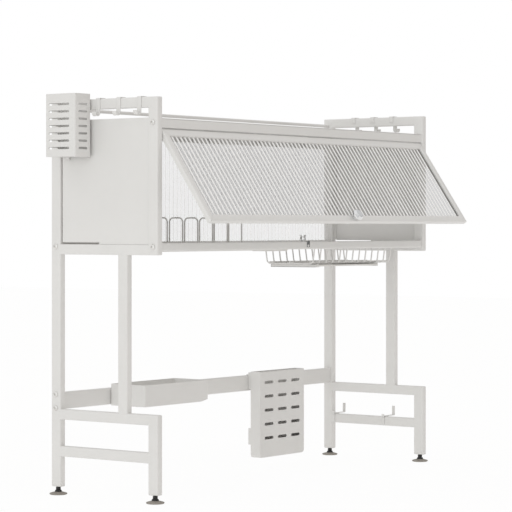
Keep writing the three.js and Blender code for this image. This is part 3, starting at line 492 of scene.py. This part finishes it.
def wires(name, runs):
    """Round wires as one mesh: runs are (points, diameter[, closed])."""
    curve = bpy.data.curves.new(name, "CURVE")
    curve.dimensions = "3D"
    curve.bevel_depth = 0.001
    curve.bevel_resolution = 2
    curve.use_fill_caps = True
    for points, diameter, *closed in runs:
        spline = curve.splines.new("POLY")
        spline.points.add(len(points) - 1)
        spline.use_cyclic_u = bool(closed)
        for slot_point, point in zip(spline.points, points):
            slot_point.co = (*at(*point), 1)
            slot_point.radius = diameter / 2
    temp = bpy.data.objects.new(name + "_path", curve)
    bpy.context.scene.collection.objects.link(temp)
    bpy.context.view_layer.update()
    graph = bpy.context.evaluated_depsgraph_get()
    obj = bpy.data.objects.new(name, bpy.data.meshes.new_from_object(temp.evaluated_get(graph)))
    bpy.data.objects.remove(temp)
    bpy.data.curves.remove(curve)
    bpy.context.scene.collection.objects.link(obj)
    return obj


# Frame, rails and sheets

def side_frame(side):
    x = sorted((on_side(side, 0), on_side(side, TUBE)))
    bm = bmesh.new()
    for y, z in (((0, WIDE), (CABINET, HEIGHT)), ((0, WIDE), (FOOT_TOP, STEP_BAR + BAR)),
                 ((MID_POST, MID_POST + WIDE), (STEP_BAR + BAR - OVERLAP, CABINET + OVERLAP)),
                 ((POST_FRONT, DEPTH), (FOOT_TOP, HEIGHT))):
        add_block(bm, (x[0], y[0], z[0]), (x[1], y[1], z[1]), TUBE_EDGE, 4)
    bar_y = (WIDE - OVERLAP, POST_FRONT + OVERLAP)
    for z in (LOWER_RAIL, STEP_BAR, CABINET, HEIGHT - BAR):
        add_prism(bm, round_outline(x, (z, z + BAR), TUBE_EDGE), along_y, *bar_y)
    finish_piece(from_bmesh(bm, side + "_side_frame_piece"), side + "_side_frame")


def rails():
    """Four rails between the side frames; the two lower ones carry the racks on a ledge."""
    span = (INNER_LEFT, INNER_RIGHT)
    ledge_width, under_edge, top_edge = 7.0, 2.6, 2.0
    front_ledge = (FRONT_RAIL[1] - OVERLAP, FRONT_RAIL[1] + ledge_width)
    back_ledge = (BACK_RAIL[0] - ledge_width, BACK_RAIL[0] + OVERLAP)
    for node, y, z, ledge in (("front_top_rail", FRONT_RAIL, (FRONT_TOP_BASE, SHELF_UNDER), None),
                              ("back_top_rail", BACK_RAIL, (BACK_TOP_BASE, SHELF_UNDER), None),
                              ("front_bottom_rail", FRONT_RAIL, (RAIL_BASE, RAIL_TOP), front_ledge),
                              ("back_bottom_rail", BACK_RAIL, (RAIL_BASE, RAIL_TOP), back_ledge)):
        bm = bmesh.new()
        add_prism(bm, round_outline(y, z, under_edge, top_edge), along_x, *span)
        if ledge:
            add_prism(bm, round_outline(ledge, (RAIL_BASE, LEDGE_TOP), 0.4, steps=3), along_x, *span)
        finish_piece(from_bmesh(bm, node + "_piece"), node)


def back_bar():
    """A channel open to the rear, with a plate in each end."""
    half = BAR_WALL / 2
    bend, plate, inset = 1.6, 2.0, 0.4
    path = arc_path([(BAR_REAR, BAR_BASE + half), (BAR_FRONT + half, BAR_BASE + half),
                     (BAR_FRONT + half, BAR_TOP - half), (BAR_REAR, BAR_TOP - half)], [0, bend, bend, 0])
    bm = bmesh.new()
    add_prism(bm, strip_outline(path, BAR_WALL), along_x, INNER_LEFT, INNER_RIGHT)
    for x0 in (INNER_LEFT, INNER_RIGHT - plate):
        add_block(bm, (x0, BAR_FRONT + inset, BAR_BASE + inset),
                  (x0 + plate, BAR_REAR - 0.1, BAR_TOP - inset), 0.3, 2)
    finish_piece(from_bmesh(bm, "lower_back_bar_piece"), "lower_back_bar")


def guard_rod():
    radius, below_top, start = 3.5, 16.0, 10.0
    length = LENGTH - 2 * start
    bm = bmesh.new()
    add_lathe(bm, [(0, 0), (radius, 0), (radius, length), (0, length)],
              (start, POST_CENTRE, HEIGHT - below_top), (1, 0, 0), 32)
    finish_piece(from_bmesh(bm, "rear_guard_rod_piece"), "rear_guard_rod")


def shelf():
    """A sheet with a lip turned down at each end."""
    bm = bmesh.new()
    x = (INNER_LEFT + GAP, INNER_RIGHT - GAP)
    add_block(bm, (x[0], FRONT_RAIL[0], SHELF_UNDER), (x[1], BACK_RAIL[1], SHELF_TOP), 0.45)
    for x0 in (x[0], x[1] - SHELF_SHEET):
        add_block(bm, (x0, FRONT_RAIL[1] + GAP, SHELF_UNDER - SHELF_LIP),
                  (x0 + SHELF_SHEET, BACK_RAIL[0] - GAP, SHELF_TOP - 0.3), 0.3, 2)
    finish_piece(from_bmesh(bm, "top_shelf_piece"), "top_shelf")


def side_panel(side):
    """A plate with rolled rear and lower edges, whose front part reaches down to the side rail."""
    outer, sheet, flange, skirt = 2.0, 1.2, 6.0, 124.0
    slit, rear_gap, rise, fold_height = 3.4, 3.4, 1.0, 2.4
    y = (WIDE + GAP, POST_FRONT - rear_gap)
    base = CABINET + BAR
    z = (base + slit, SHELF_TOP + rise)
    half = sheet / 2
    fold = z[0] + fold_height
    bends = [0, BEND, 0]

    def upright(a, b, depth):
        return (on_side(side, a), b, depth)

    def level(a, b, depth):
        return (on_side(side, a), depth, b)

    bm = bmesh.new()
    rear = [(outer + half, y[0]), (outer + half, y[1] - half), (outer + flange, y[1] - half)]
    add_prism(bm, strip_outline(arc_path(rear, bends), sheet), upright, fold, z[1])
    lower = [(outer + flange, z[0] + half), (outer + half, z[0] + half), (outer + half, fold)]
    add_prism(bm, strip_outline(arc_path(lower, bends), sheet), level, y[0] + skirt, y[1] - 1)
    add_prism(bm, block_outline((outer, outer + sheet), (base + GAP, fold)), level, y[0], y[0] + skirt)
    finish_piece(from_bmesh(bm, side + "_side_panel_piece"), side + "_side_panel")


def reed_outline(x0, x1, back, steps=12):
    """Flat at the back, with one rounded reed per pitch on the front."""
    count = int((x1 - x0) / REED_PITCH)
    flat = (x1 - x0 - count * REED_PITCH) / 2
    points = [(x1, back), (x0, back), (x0, back - REED_BASE)]
    for k in range(count * steps + 1):
        points.append((x0 + flat + k * REED_PITCH / steps,
                       back - REED_BASE - REED_CROWN * abs(math.sin(math.pi * k / steps))))
    points.append((x1, back - REED_BASE))
    return points


def back_panel():
    outline = reed_outline(INNER_LEFT + GAP, INNER_RIGHT - GAP, BACK_PANEL_FRONT + REED_BASE + REED_CROWN)
    obj = prism("back_panel_piece", outline, along_z, RAIL_TOP - PANEL_GRIP, BACK_PANEL_TOP)
    finish_piece(obj, "back_panel", 25.0)


# Fasteners and feet

def screws():
    """Pan heads with a hexagonal recess, through the side frames into the rails and the back bar."""
    bottom_rise, bar_inset = 8.0, 3.2
    places = {
        "front_top": (WIDE / 2, 731.0), "front_bottom": (WIDE / 2, RAIL_BASE + bottom_rise),
        "back_top": (POST_CENTRE, 724.0), "back_bottom": (POST_CENTRE, RAIL_BASE + bottom_rise),
        "bar_upper": (POST_CENTRE, BAR_TOP - bar_inset), "bar_lower": (POST_CENTRE, BAR_BASE + bar_inset),
    }
    profile = [(0, -26), (1.6, -26), (2, -25.4), (2, 0), (5.2, 0), (5.5, 0.35), (5.5, 0.9), (5.1, 1.8),
               (4.2, 2.6), (3.2, 3.05), (2.7, 3.2), (2.35, 3.2, 6), (2.2, 3.0, 6), (2.1, 1.4, 6), (0, 1.1)]
    for side in ("left", "right"):
        for name, (y, z) in places.items():
            bm = bmesh.new()
            add_lathe(bm, profile, (on_side(side, 0), y, z), (-1 if side == "left" else 1, 0, 0), 36)
            node = "screw_" + name + "_" + side
            finish_piece(from_bmesh(bm, node + "_piece"), node)


def feet():
    """A threaded stem with its collar and nut in a round base, under each leg."""
    crest, root, thread_base, thread_length, turns = 3.5, 3.15, 15.2, 22.6, 16
    stem = [(0, 3.0), (crest, 3.0), (crest, 6.0), (6.6, 6.0), (7.0, 6.4), (6.9, 7.6), (6.3, 8.6), (5.2, 9.3),
            (4.9, 9.5), (4.6, 9.7), (4.8, 10.1), (4.8, 14.2), (4.4, 14.9), (crest, 15.0)]
    for k in range(turns * 2):
        stem.append((crest if k % 2 else root, thread_base + k * thread_length / (turns * 2)))
    stem += [(3.1, 37.9), (0, 38.0)]
    base = [(0, 0.0), (15.9, 0.0), (16.9, 0.5), (17.6, 1.3), (17.75, 2.1), (17.3, 2.9), (15.6, 3.6),
            (12.6, 4.4), (9.6, 5.2), (8.4, 5.6), (7.6, 5.7), (4.0, 5.7), (3.8, 5.5), (3.8, 2.7), (0, 2.7)]
    for side in ("left", "right"):
        for place, y in (("front", WIDE / 2), ("back", POST_CENTRE)):
            for kind, profile in (("stem", stem), ("base", base)):
                bm = bmesh.new()
                add_lathe(bm, profile, (on_side(side, TUBE / 2), y, 0), (0, 0, 1), 48)
                node = "foot_" + kind + "_" + place + "_" + side
                finish_piece(from_bmesh(bm, node + "_piece"), node, 30.0)


# Door

def door_members():
    """Four mitred members with rounded long edges; the top one holds the panel with small tabs."""
    (x0, x1), (z0, z1) = DOOR_X, DOOR_Z
    tab_spacing, tab_half, tab_from, tab_to = 160.0, 10.0, 23.0, 13.0
    corners = {"tl": (x0, z1, 1, -1), "tr": (x1, z1, -1, -1), "br": (x1, z0, -1, 1), "bl": (x0, z0, 1, 1)}
    profile = round_outline((0, DOOR_MEMBER), (-DOOR_HALF, DOOR_HALF), 1.1, steps=4)
    for side, start, end, gap in (("top", "tl", "tr", GAP), ("bottom", "bl", "br", GAP),
                                  ("left", "tl", "bl", 0), ("right", "tr", "br", 0)):
        bm = bmesh.new()
        rings = []
        for corner, sign in ((corners[start], 1), (corners[end], -1)):
            x, z, dx, dz = corner
            rings.append([bm.verts.new(at(*on_door(x + dx * d + sign * gap, y, z + dz * d)))
                          for d, y in profile])
        for ring in rings:
            bm.faces.new(ring)
        for i in range(len(profile)):
            j = (i + 1) % len(profile)
            bm.faces.new((rings[0][i], rings[1][i], rings[1][j], rings[0][j]))
        node = "door_" + side + "_member"
        obj = from_bmesh(bm, node + "_piece")
        if side == "top":
            centres = [(x0 + x1) / 2 + k * tab_spacing for k in range(-2, 3)]
            tabs = [block_outline((centre - tab_half, centre + tab_half), (2.1, 4.2)) for centre in centres]
            obj = merged(obj, soften(prisms("tabs", tabs, on_door, z1 - tab_from, z1 - tab_to), 0.4))
        finish_piece(obj, node)


def door_panel():
    in_groove = 4.0
    inset = DOOR_MEMBER - in_groove
    outline = reed_outline(DOOR_X[0] + inset, DOOR_X[1] - inset, (REED_BASE + REED_CROWN) / 2)
    obj = prism("door_panel_piece", outline, on_door, DOOR_Z[0] + inset, DOOR_Z[1] - inset)
    finish_piece(obj, "door_panel", 25.0)


# Racks

def rim_run(x, y, z):
    outline = round_outline((x[0] + RIM_WIRE / 2, x[1] - RIM_WIRE / 2), y, 7, steps=5)
    return [(a, b, z) for a, b in outline], RIM_WIRE, True


def cross_run(at_x, corners, radii=0):
    return [(at_x, p.x, p.y) for p in arc_path(corners, radii)], WIRE


def plate_rack():
    """Cross wires on a rim; every second one rises into a loop that holds a plate."""
    x, rim_y, rim_z, wire_z = (24.0, 456.0), (21.6, 249.4), 488.4, 491.5
    loop_y, loop_top, bend = (100.0, 134.0), 548.5, 9
    first, count = 54.75, 16
    straight = [(rim_y[0], wire_z), (rim_y[1], wire_z)]
    looped = [straight[0], (loop_y[0], wire_z), (loop_y[0], loop_top), (loop_y[1], loop_top),
              (loop_y[1], wire_z), straight[1]]
    runs = [rim_run(x, rim_y, rim_z)]
    runs += [([(x[0] + 2, y, rim_z), (x[1] - 2, y, rim_z)], WIRE) for y in loop_y]
    for i in range(count):
        at_x = first + WIRE_PITCH * i
        if i % 2:
            runs.append(cross_run(at_x, straight))
        else:
            runs.append(cross_run(at_x, looped, [0, bend, bend, bend, bend, 0]))
    finish_piece(wires("left_plate_rack_piece", runs), "left_plate_rack", 50.0)


def dish_basket():
    """Deep U wires between flat ends, on a rim, with two runners for the drip tray below."""
    x, rim_y, rim_z, wire_z = (483.0, 938.0), (21.5, 249.5), 487.1, 490.2
    floor_z, deep_first, deep, flat_ends = 452.0, 563.0, 13, 3
    top_bend, floor_bend = 5, 9
    straight = [(rim_y[0], wire_z), (rim_y[1], wire_z)]
    sunk = [straight[0], (27.5, wire_z), (33, floor_z), (152.5, floor_z), (158, wire_z), straight[1]]
    runs = [rim_run(x, rim_y, rim_z)]
    for i in range(-flat_ends, deep + flat_ends):
        at_x = deep_first + WIRE_PITCH * i
        if 0 <= i < deep:
            runs.append(cross_run(at_x, sunk, [0, top_bend, floor_bend, floor_bend, top_bend, 0]))
        else:
            runs.append(cross_run(at_x, straight))
    deep_last = deep_first + WIRE_PITCH * (deep - 1)
    long_z = floor_z + 2.6
    for y in (40.0, 92.75, 145.5):
        runs.append(([(deep_first - WIRE / 2, y, long_z), (deep_last + WIRE / 2, y, long_z)], WIRE))
    top, under, sheet, lip, run_y = 450.9, 444.1, 1.2, 14.0, (34.0, 152.0)
    bm = bmesh.new()
    for web, inward in ((575.0, 1), (815.0, -1)):
        lip_x = sorted((web, web + inward * lip))
        wall_x = sorted((web, web + inward * sheet))
        for xs, ys, zs in ((lip_x, run_y, (top - sheet, top)), (lip_x, run_y, (under, under + sheet)),
                           (wall_x, run_y, (under, top)),
                           (lip_x, (run_y[1] - sheet, run_y[1]), (under, top))):
            add_block(bm, (xs[0], ys[0], zs[0]), (xs[1], ys[1], zs[1]), 0.3, 2)
    channels = from_bmesh(bm, "runners")
    finish_piece(merged(wires("right_dish_basket_piece", runs), channels), "right_dish_basket", 50.0)


# Hung holders

def shelled(x, y):
    """The inner faces of a holder's walls."""
    return (x[0] + SHEET, x[1] - SHEET), (y[0] + SHEET, y[1] - SHEET)


def bar_strap(x, wall_y):
    """A strap from a holder's wall over the back bar."""
    over, far, half_width = BAR_TOP + HUNG_CLEAR, BAR_REAR + HUNG_CLEAR, 12.0
    corners = [(wall_y, over), (far, over), (far, over - HOOK_DROP)]
    return bent_strip("strap", corners, [0, BEND, 0], SHEET, along_x, x - half_width, x + half_width)


def utensil_holder():
    x, y, z = (-50.3, -3.3), (165.0, 242.0), (667.0, 790.0)
    slot, row_count, row_pitch, first_drop = 4.4, 7, 14.25, 20.8
    body = prism("utensil_holder_piece", round_outline(x, y, 4), along_z, *z)
    cavity = prism("cavity", round_outline(*shelled(x, y), 2.5), along_z, z[0] + SHEET, z[1] + OVERRUN)
    rows = [z[1] - first_drop - row_pitch * i for i in range(row_count)]
    side_slots = prisms("side_slots", [pill(206.5, row, 52.5, slot) for row in rows], along_x,
                        x[0] - OVERRUN, x[0] + OVERRUN)
    end_slots = prisms("end_slots", [pill(-26.8, row, 26.3, slot) for row in rows], along_y,
                       y[0] - OVERRUN, y[1] + OVERRUN)
    drains = prisms("drains", [pill(-36.5 + 9.7 * i, 203.5, 5, 49) for i in range(3)], along_z,
                    z[0] - OVERRUN, z[0] + OVERRUN)
    body = carved(soften(carved(body, cavity), 0.45, 2, 50.0), side_slots, end_slots, drains)
    over, far = HEIGHT + HUNG_CLEAR, TUBE + HUNG_CLEAR
    hook = bent_strip("hook", [(x[1] - INTO_WALL, over), (far, over), (far, over - HOOK_DROP)], [0, BEND, 0],
                      SHEET, along_y, 188.5, 218.5)
    bm = bmesh.new()
    add_block(bm, (x[1] - SHEET, 221, z[0] - 5), (-GAP, 229, z[0] + 5), 0.6)
    finish_piece(merged(body, hook, from_bmesh(bm, "lug")), "utensil_holder", weighted=True)


def knife_holder():
    x, y, z = (627.0, 795.0), (219.5, 246.0), (21.5, 211.0)
    middle, column_pitch, row_pitch, first_drop, row_count = 711.0, 50.0, 30.7, 24.0, 5
    body = prism("knife_holder_piece", round_outline(x, z, 8, 0, 8), along_y, *y)
    body = soften(body, 1.6, 4, 40.0)
    inner_x, inner_y = shelled(x, y)
    inner = round_outline(inner_x, (z[0] + SHEET, z[1] + OVERRUN), 6.5, 0, 8)
    cavity = prism("cavity", inner, along_y, *inner_y)
    slots = [pill(middle + column_pitch * column, z[1] - first_drop - row_pitch * row, 33, 6.5)
             for row in range(row_count) for column in (-1, 0, 1)]
    slots = prisms("slots", slots, along_y, y[0] - OVERRUN, y[0] + OVERRUN)
    drains = prisms("drains", [pill(660.3 + 50.7 * i, 232.75, 5, 10) for i in range(3)], along_z,
                    z[0] - OVERRUN, z[0] + OVERRUN)
    body = carved(body, cavity, slots, drains)
    bm = bmesh.new()
    for x0 in (x[0] + 1.2, x[1] - 2.7):
        for z0, z1 in ((172, 209), (50, 86)):
            add_block(bm, (x0, y[1] - SHEET, z0), (x0 + SHEET, BAR_FRONT - GAP, z1), 0.4, 2)
    straps = [bar_strap(at_x, y[1] - INTO_WALL) for at_x in (x[0] + 24, x[1] - 24)]
    finish_piece(merged(body, from_bmesh(bm, "cheeks"), *straps), "knife_holder", weighted=True)


def caddy():
    """An open tray whose floor slants up at the right end."""
    x, y, z = (158.0, 368.0), (161.7, 252.7), (167.0, 211.0)
    slant_length, slant_rise, past = 25.0, 4.86, 2.0
    body = prism("hanging_caddy_piece", round_outline(x, y, 5, steps=8), along_z, *z)
    slant = [(x[1] - slant_length, z[0]), (x[1] + past, z[0] + slant_rise), (x[1] + past, z[0] - OVERRUN),
             (x[1] - slant_length, z[0] - OVERRUN)]
    body = carved(body, prism("slant", slant, along_y, y[0] - OVERRUN, y[1] + OVERRUN))
    body = soften(body, 0.5, 3, 8.0)
    cavity = prism("cavity", round_outline(*shelled(x, y), 3.5), along_z, z[0] + SHEET, z[1] + OVERRUN)
    inner_slant = [(a - SHEET, b + SHEET) for a, b in slant]
    cavity = carved(cavity, prism("inner_slant", inner_slant, along_y, y[0] - OVERRUN, y[1] + OVERRUN))
    drains = [pill(184.9 + 28.75 * i, 207.2, 5, 63) for i in range(6)]
    body = carved(body, cavity, prisms("drains", drains, along_z, z[0] - OVERRUN, z[0] + OVERRUN))
    straps = [bar_strap(at_x, y[1] - INTO_WALL) for at_x in (x[0] + 48, x[1] - 48)]
    finish_piece(merged(body, *straps), "hanging_caddy", weighted=True)


def bar_hooks():
    """Flat hooks that are hung over the side bars."""
    over, near, far = HEIGHT + HUNG_CLEAR, -HUNG_CLEAR, TUBE + HUNG_CLEAR
    low, tip, jaw, half_width, pitch = HEIGHT - BAR - 13, 8.0, 12.0, 5.0, 52.0
    corners = [(far, HEIGHT - 12), (far, over), (near, over), (near, low), (near - jaw, low),
               (near - jaw, low + tip)]
    radii = [0, BEND, BEND, 5.5, 5.5, 0]
    for side, first in (("left", 44.7), ("right", 84.0)):
        turned = [(on_side(side, a), b) for a, b in corners]
        for i in range(3):
            span = (first + pitch * i - half_width, first + pitch * i + half_width)
            node = side + "_hook_" + str(i + 1)
            finish_piece(bent_strip(node + "_piece", turned, radii, SHEET, along_y, *span), node)


def board_brackets():
    """Bent arms over the right lower rail, each with a tip that holds a board."""
    rail_top = LOWER_RAIL + BAR
    over = rail_top + HUNG_CLEAR
    inner, outer, end = INNER_RIGHT - GAP, LENGTH + GAP, LENGTH + 28.7
    half, half_width, bend = SHEET / 2, 3.5, 1.4
    for node, y in (("board_bracket_front", 106.0), ("board_bracket_rear", 243.0)):
        span = (y - half_width, y + half_width)
        arm = [(inner - half, rail_top - 18), (inner - half, over), (end - half, over),
               (end - half, rail_top + 22)]
        obj = bent_strip(node + "_piece", arm, [0, bend, bend, 0], SHEET, along_y, *span)
        bm = bmesh.new()
        add_block(bm, (inner - SHEET, span[0], rail_top - 3), (inner, span[1], rail_top + 5.7), 0.4, 2)
        add_block(bm, (outer, span[0], rail_top - 12), (outer + SHEET, span[1], rail_top + 1.5), 0.4, 2)
        finish_piece(merged(obj, from_bmesh(bm, "legs")), node)


for side_name in ("left", "right"):
    side_frame(side_name)
    side_panel(side_name)
rails()
back_bar()
guard_rod()
shelf()
back_panel()
screws()
feet()
door_members()
door_panel()
plate_rack()
dish_basket()
utensil_holder()
knife_holder()
caddy()
bar_hooks()
board_brackets()
for fine_node, width in (("left_drip_tray", 0.35), ("pull_out_drip_tray", 0.35), ("door_knob", 0.45),
                         ("catch_striker", 0.1), ("catch_clip", 0.15), ("catch_screw", 0.1),
                         ("hinge_pin_left", 0.1), ("hinge_pin_right", 0.1)):
    refined(fine_node, width)


# Stage, lights and camera

FLOOR_GLOW, FLOOR_WHITE = 0.40, 0.9
LEAN = (-0.25, 0.05, 0.95)
AMBIENT_LOW, AMBIENT_HIGH = (0.14, 0.07, 0.0), (0.98, 0.98, 0.98)


def seen_directly(tree):
    """1 where a ray comes from the camera or through a clear surface."""
    path = tree.nodes.new("ShaderNodeLightPath")
    return math_node(tree, "MAXIMUM", path.outputs["Is Camera Ray"], path.outputs["Is Transmission Ray"])


def mixed_shader(tree, factor, first, second):
    node = tree.nodes.new("ShaderNodeMixShader")
    tree.links.new(factor, node.inputs["Fac"])
    tree.links.new(first, node.inputs[1])
    tree.links.new(second, node.inputs[2])
    return node.outputs[0]


def background(tree, colour):
    node = tree.nodes.new("ShaderNodeBackground")
    if isinstance(colour, tuple):
        node.inputs["Color"].default_value = colour
    else:
        tree.links.new(colour, node.inputs["Color"])
    return node.outputs[0]


def floor():
    """A pale floor that keeps the shadow, looks nearly white and lights the part from below."""
    bm = bmesh.new()
    bmesh.ops.create_grid(bm, x_segments=1, y_segments=1, size=9.0)
    obj = from_bmesh(bm, "floor_plane")
    obj.location = (1.5, 1.5, 0)
    mat, tree, shader, vector = new_material("floor_pale")
    shader.inputs["Roughness"].default_value = 0.9
    tree.links.new(ramp(tree, noise(tree, vector, 3.0), (0.58, 0.58, 0.58), (0.60, 0.60, 0.60)),
                   shader.inputs["Base Color"])
    shader.inputs["Emission Color"].default_value = (1.0, 0.99, 0.97, 1)
    shader.inputs["Emission Strength"].default_value = FLOOR_GLOW
    out = next(n for n in tree.nodes if n.type == "OUTPUT_MATERIAL")
    white = tree.nodes.new("ShaderNodeEmission")
    share = math_node(tree, "MULTIPLY", seen_directly(tree), FLOOR_WHITE)
    tree.links.new(mixed_shader(tree, share, shader.outputs[0], white.outputs[0]), out.inputs["Surface"])
    obj.data.materials.append(mat)


def studio():
    """White where it is seen directly; a soft light from above and the left, dim and warm from below."""
    world = bpy.data.worlds.new("studio")
    bpy.context.scene.world = world
    world.use_nodes = True
    tree = world.node_tree
    tree.nodes.clear()
    out = tree.nodes.new("ShaderNodeOutputWorld")
    coords = tree.nodes.new("ShaderNodeTexCoord")
    lean = tree.nodes.new("ShaderNodeVectorMath")
    lean.operation = "DOT_PRODUCT"
    lean.inputs[1].default_value = LEAN
    tree.links.new(coords.outputs["Generated"], lean.inputs[0])
    raised = math_node(tree, "MULTIPLY_ADD", lean.outputs["Value"], 0.5, 0.5)
    ambient = background(tree, ramp(tree, raised, AMBIENT_LOW, AMBIENT_HIGH, 0.0, 1.0))
    reflected = background(tree, ramp(tree, raised, 0.12, 0.92, 0.52, 0.70))
    path = tree.nodes.new("ShaderNodeLightPath")
    lit = mixed_shader(tree, path.outputs["Is Glossy Ray"], ambient, reflected)
    shown = mixed_shader(tree, seen_directly(tree), lit, background(tree, (1, 1, 1, 1)))
    tree.links.new(shown, out.inputs["Surface"])


def sun(name, toward, strength, spread, colour):
    data = bpy.data.lights.new(name, "SUN")
    data.energy = strength
    data.angle = math.radians(spread)
    data.color = colour
    light = bpy.data.objects.new(name, data)
    light.rotation_euler = Vector(toward).to_track_quat("-Z", "Y").to_euler()
    bpy.context.scene.collection.objects.link(light)


def camera():
    data = bpy.data.cameras.new("photo_camera")
    data.lens = 154.81
    data.sensor_width = 36.0
    data.shift_y = -0.0576
    data.clip_end = 60.0
    cam = bpy.data.objects.new("photo_camera", data)
    cam.location = at(-3267, -2654, 531)
    cam.rotation_euler = (math.radians(90), 0, math.radians(-53.47))
    bpy.context.scene.collection.objects.link(cam)
    bpy.context.scene.camera = cam


floor()
studio()
sun("soft_left", (0.98, 0.12, -0.12), 0.33, 30.0, (0.93, 1.0, 1.0))
camera()
bpy.context.scene.view_settings.view_transform = "Standard"
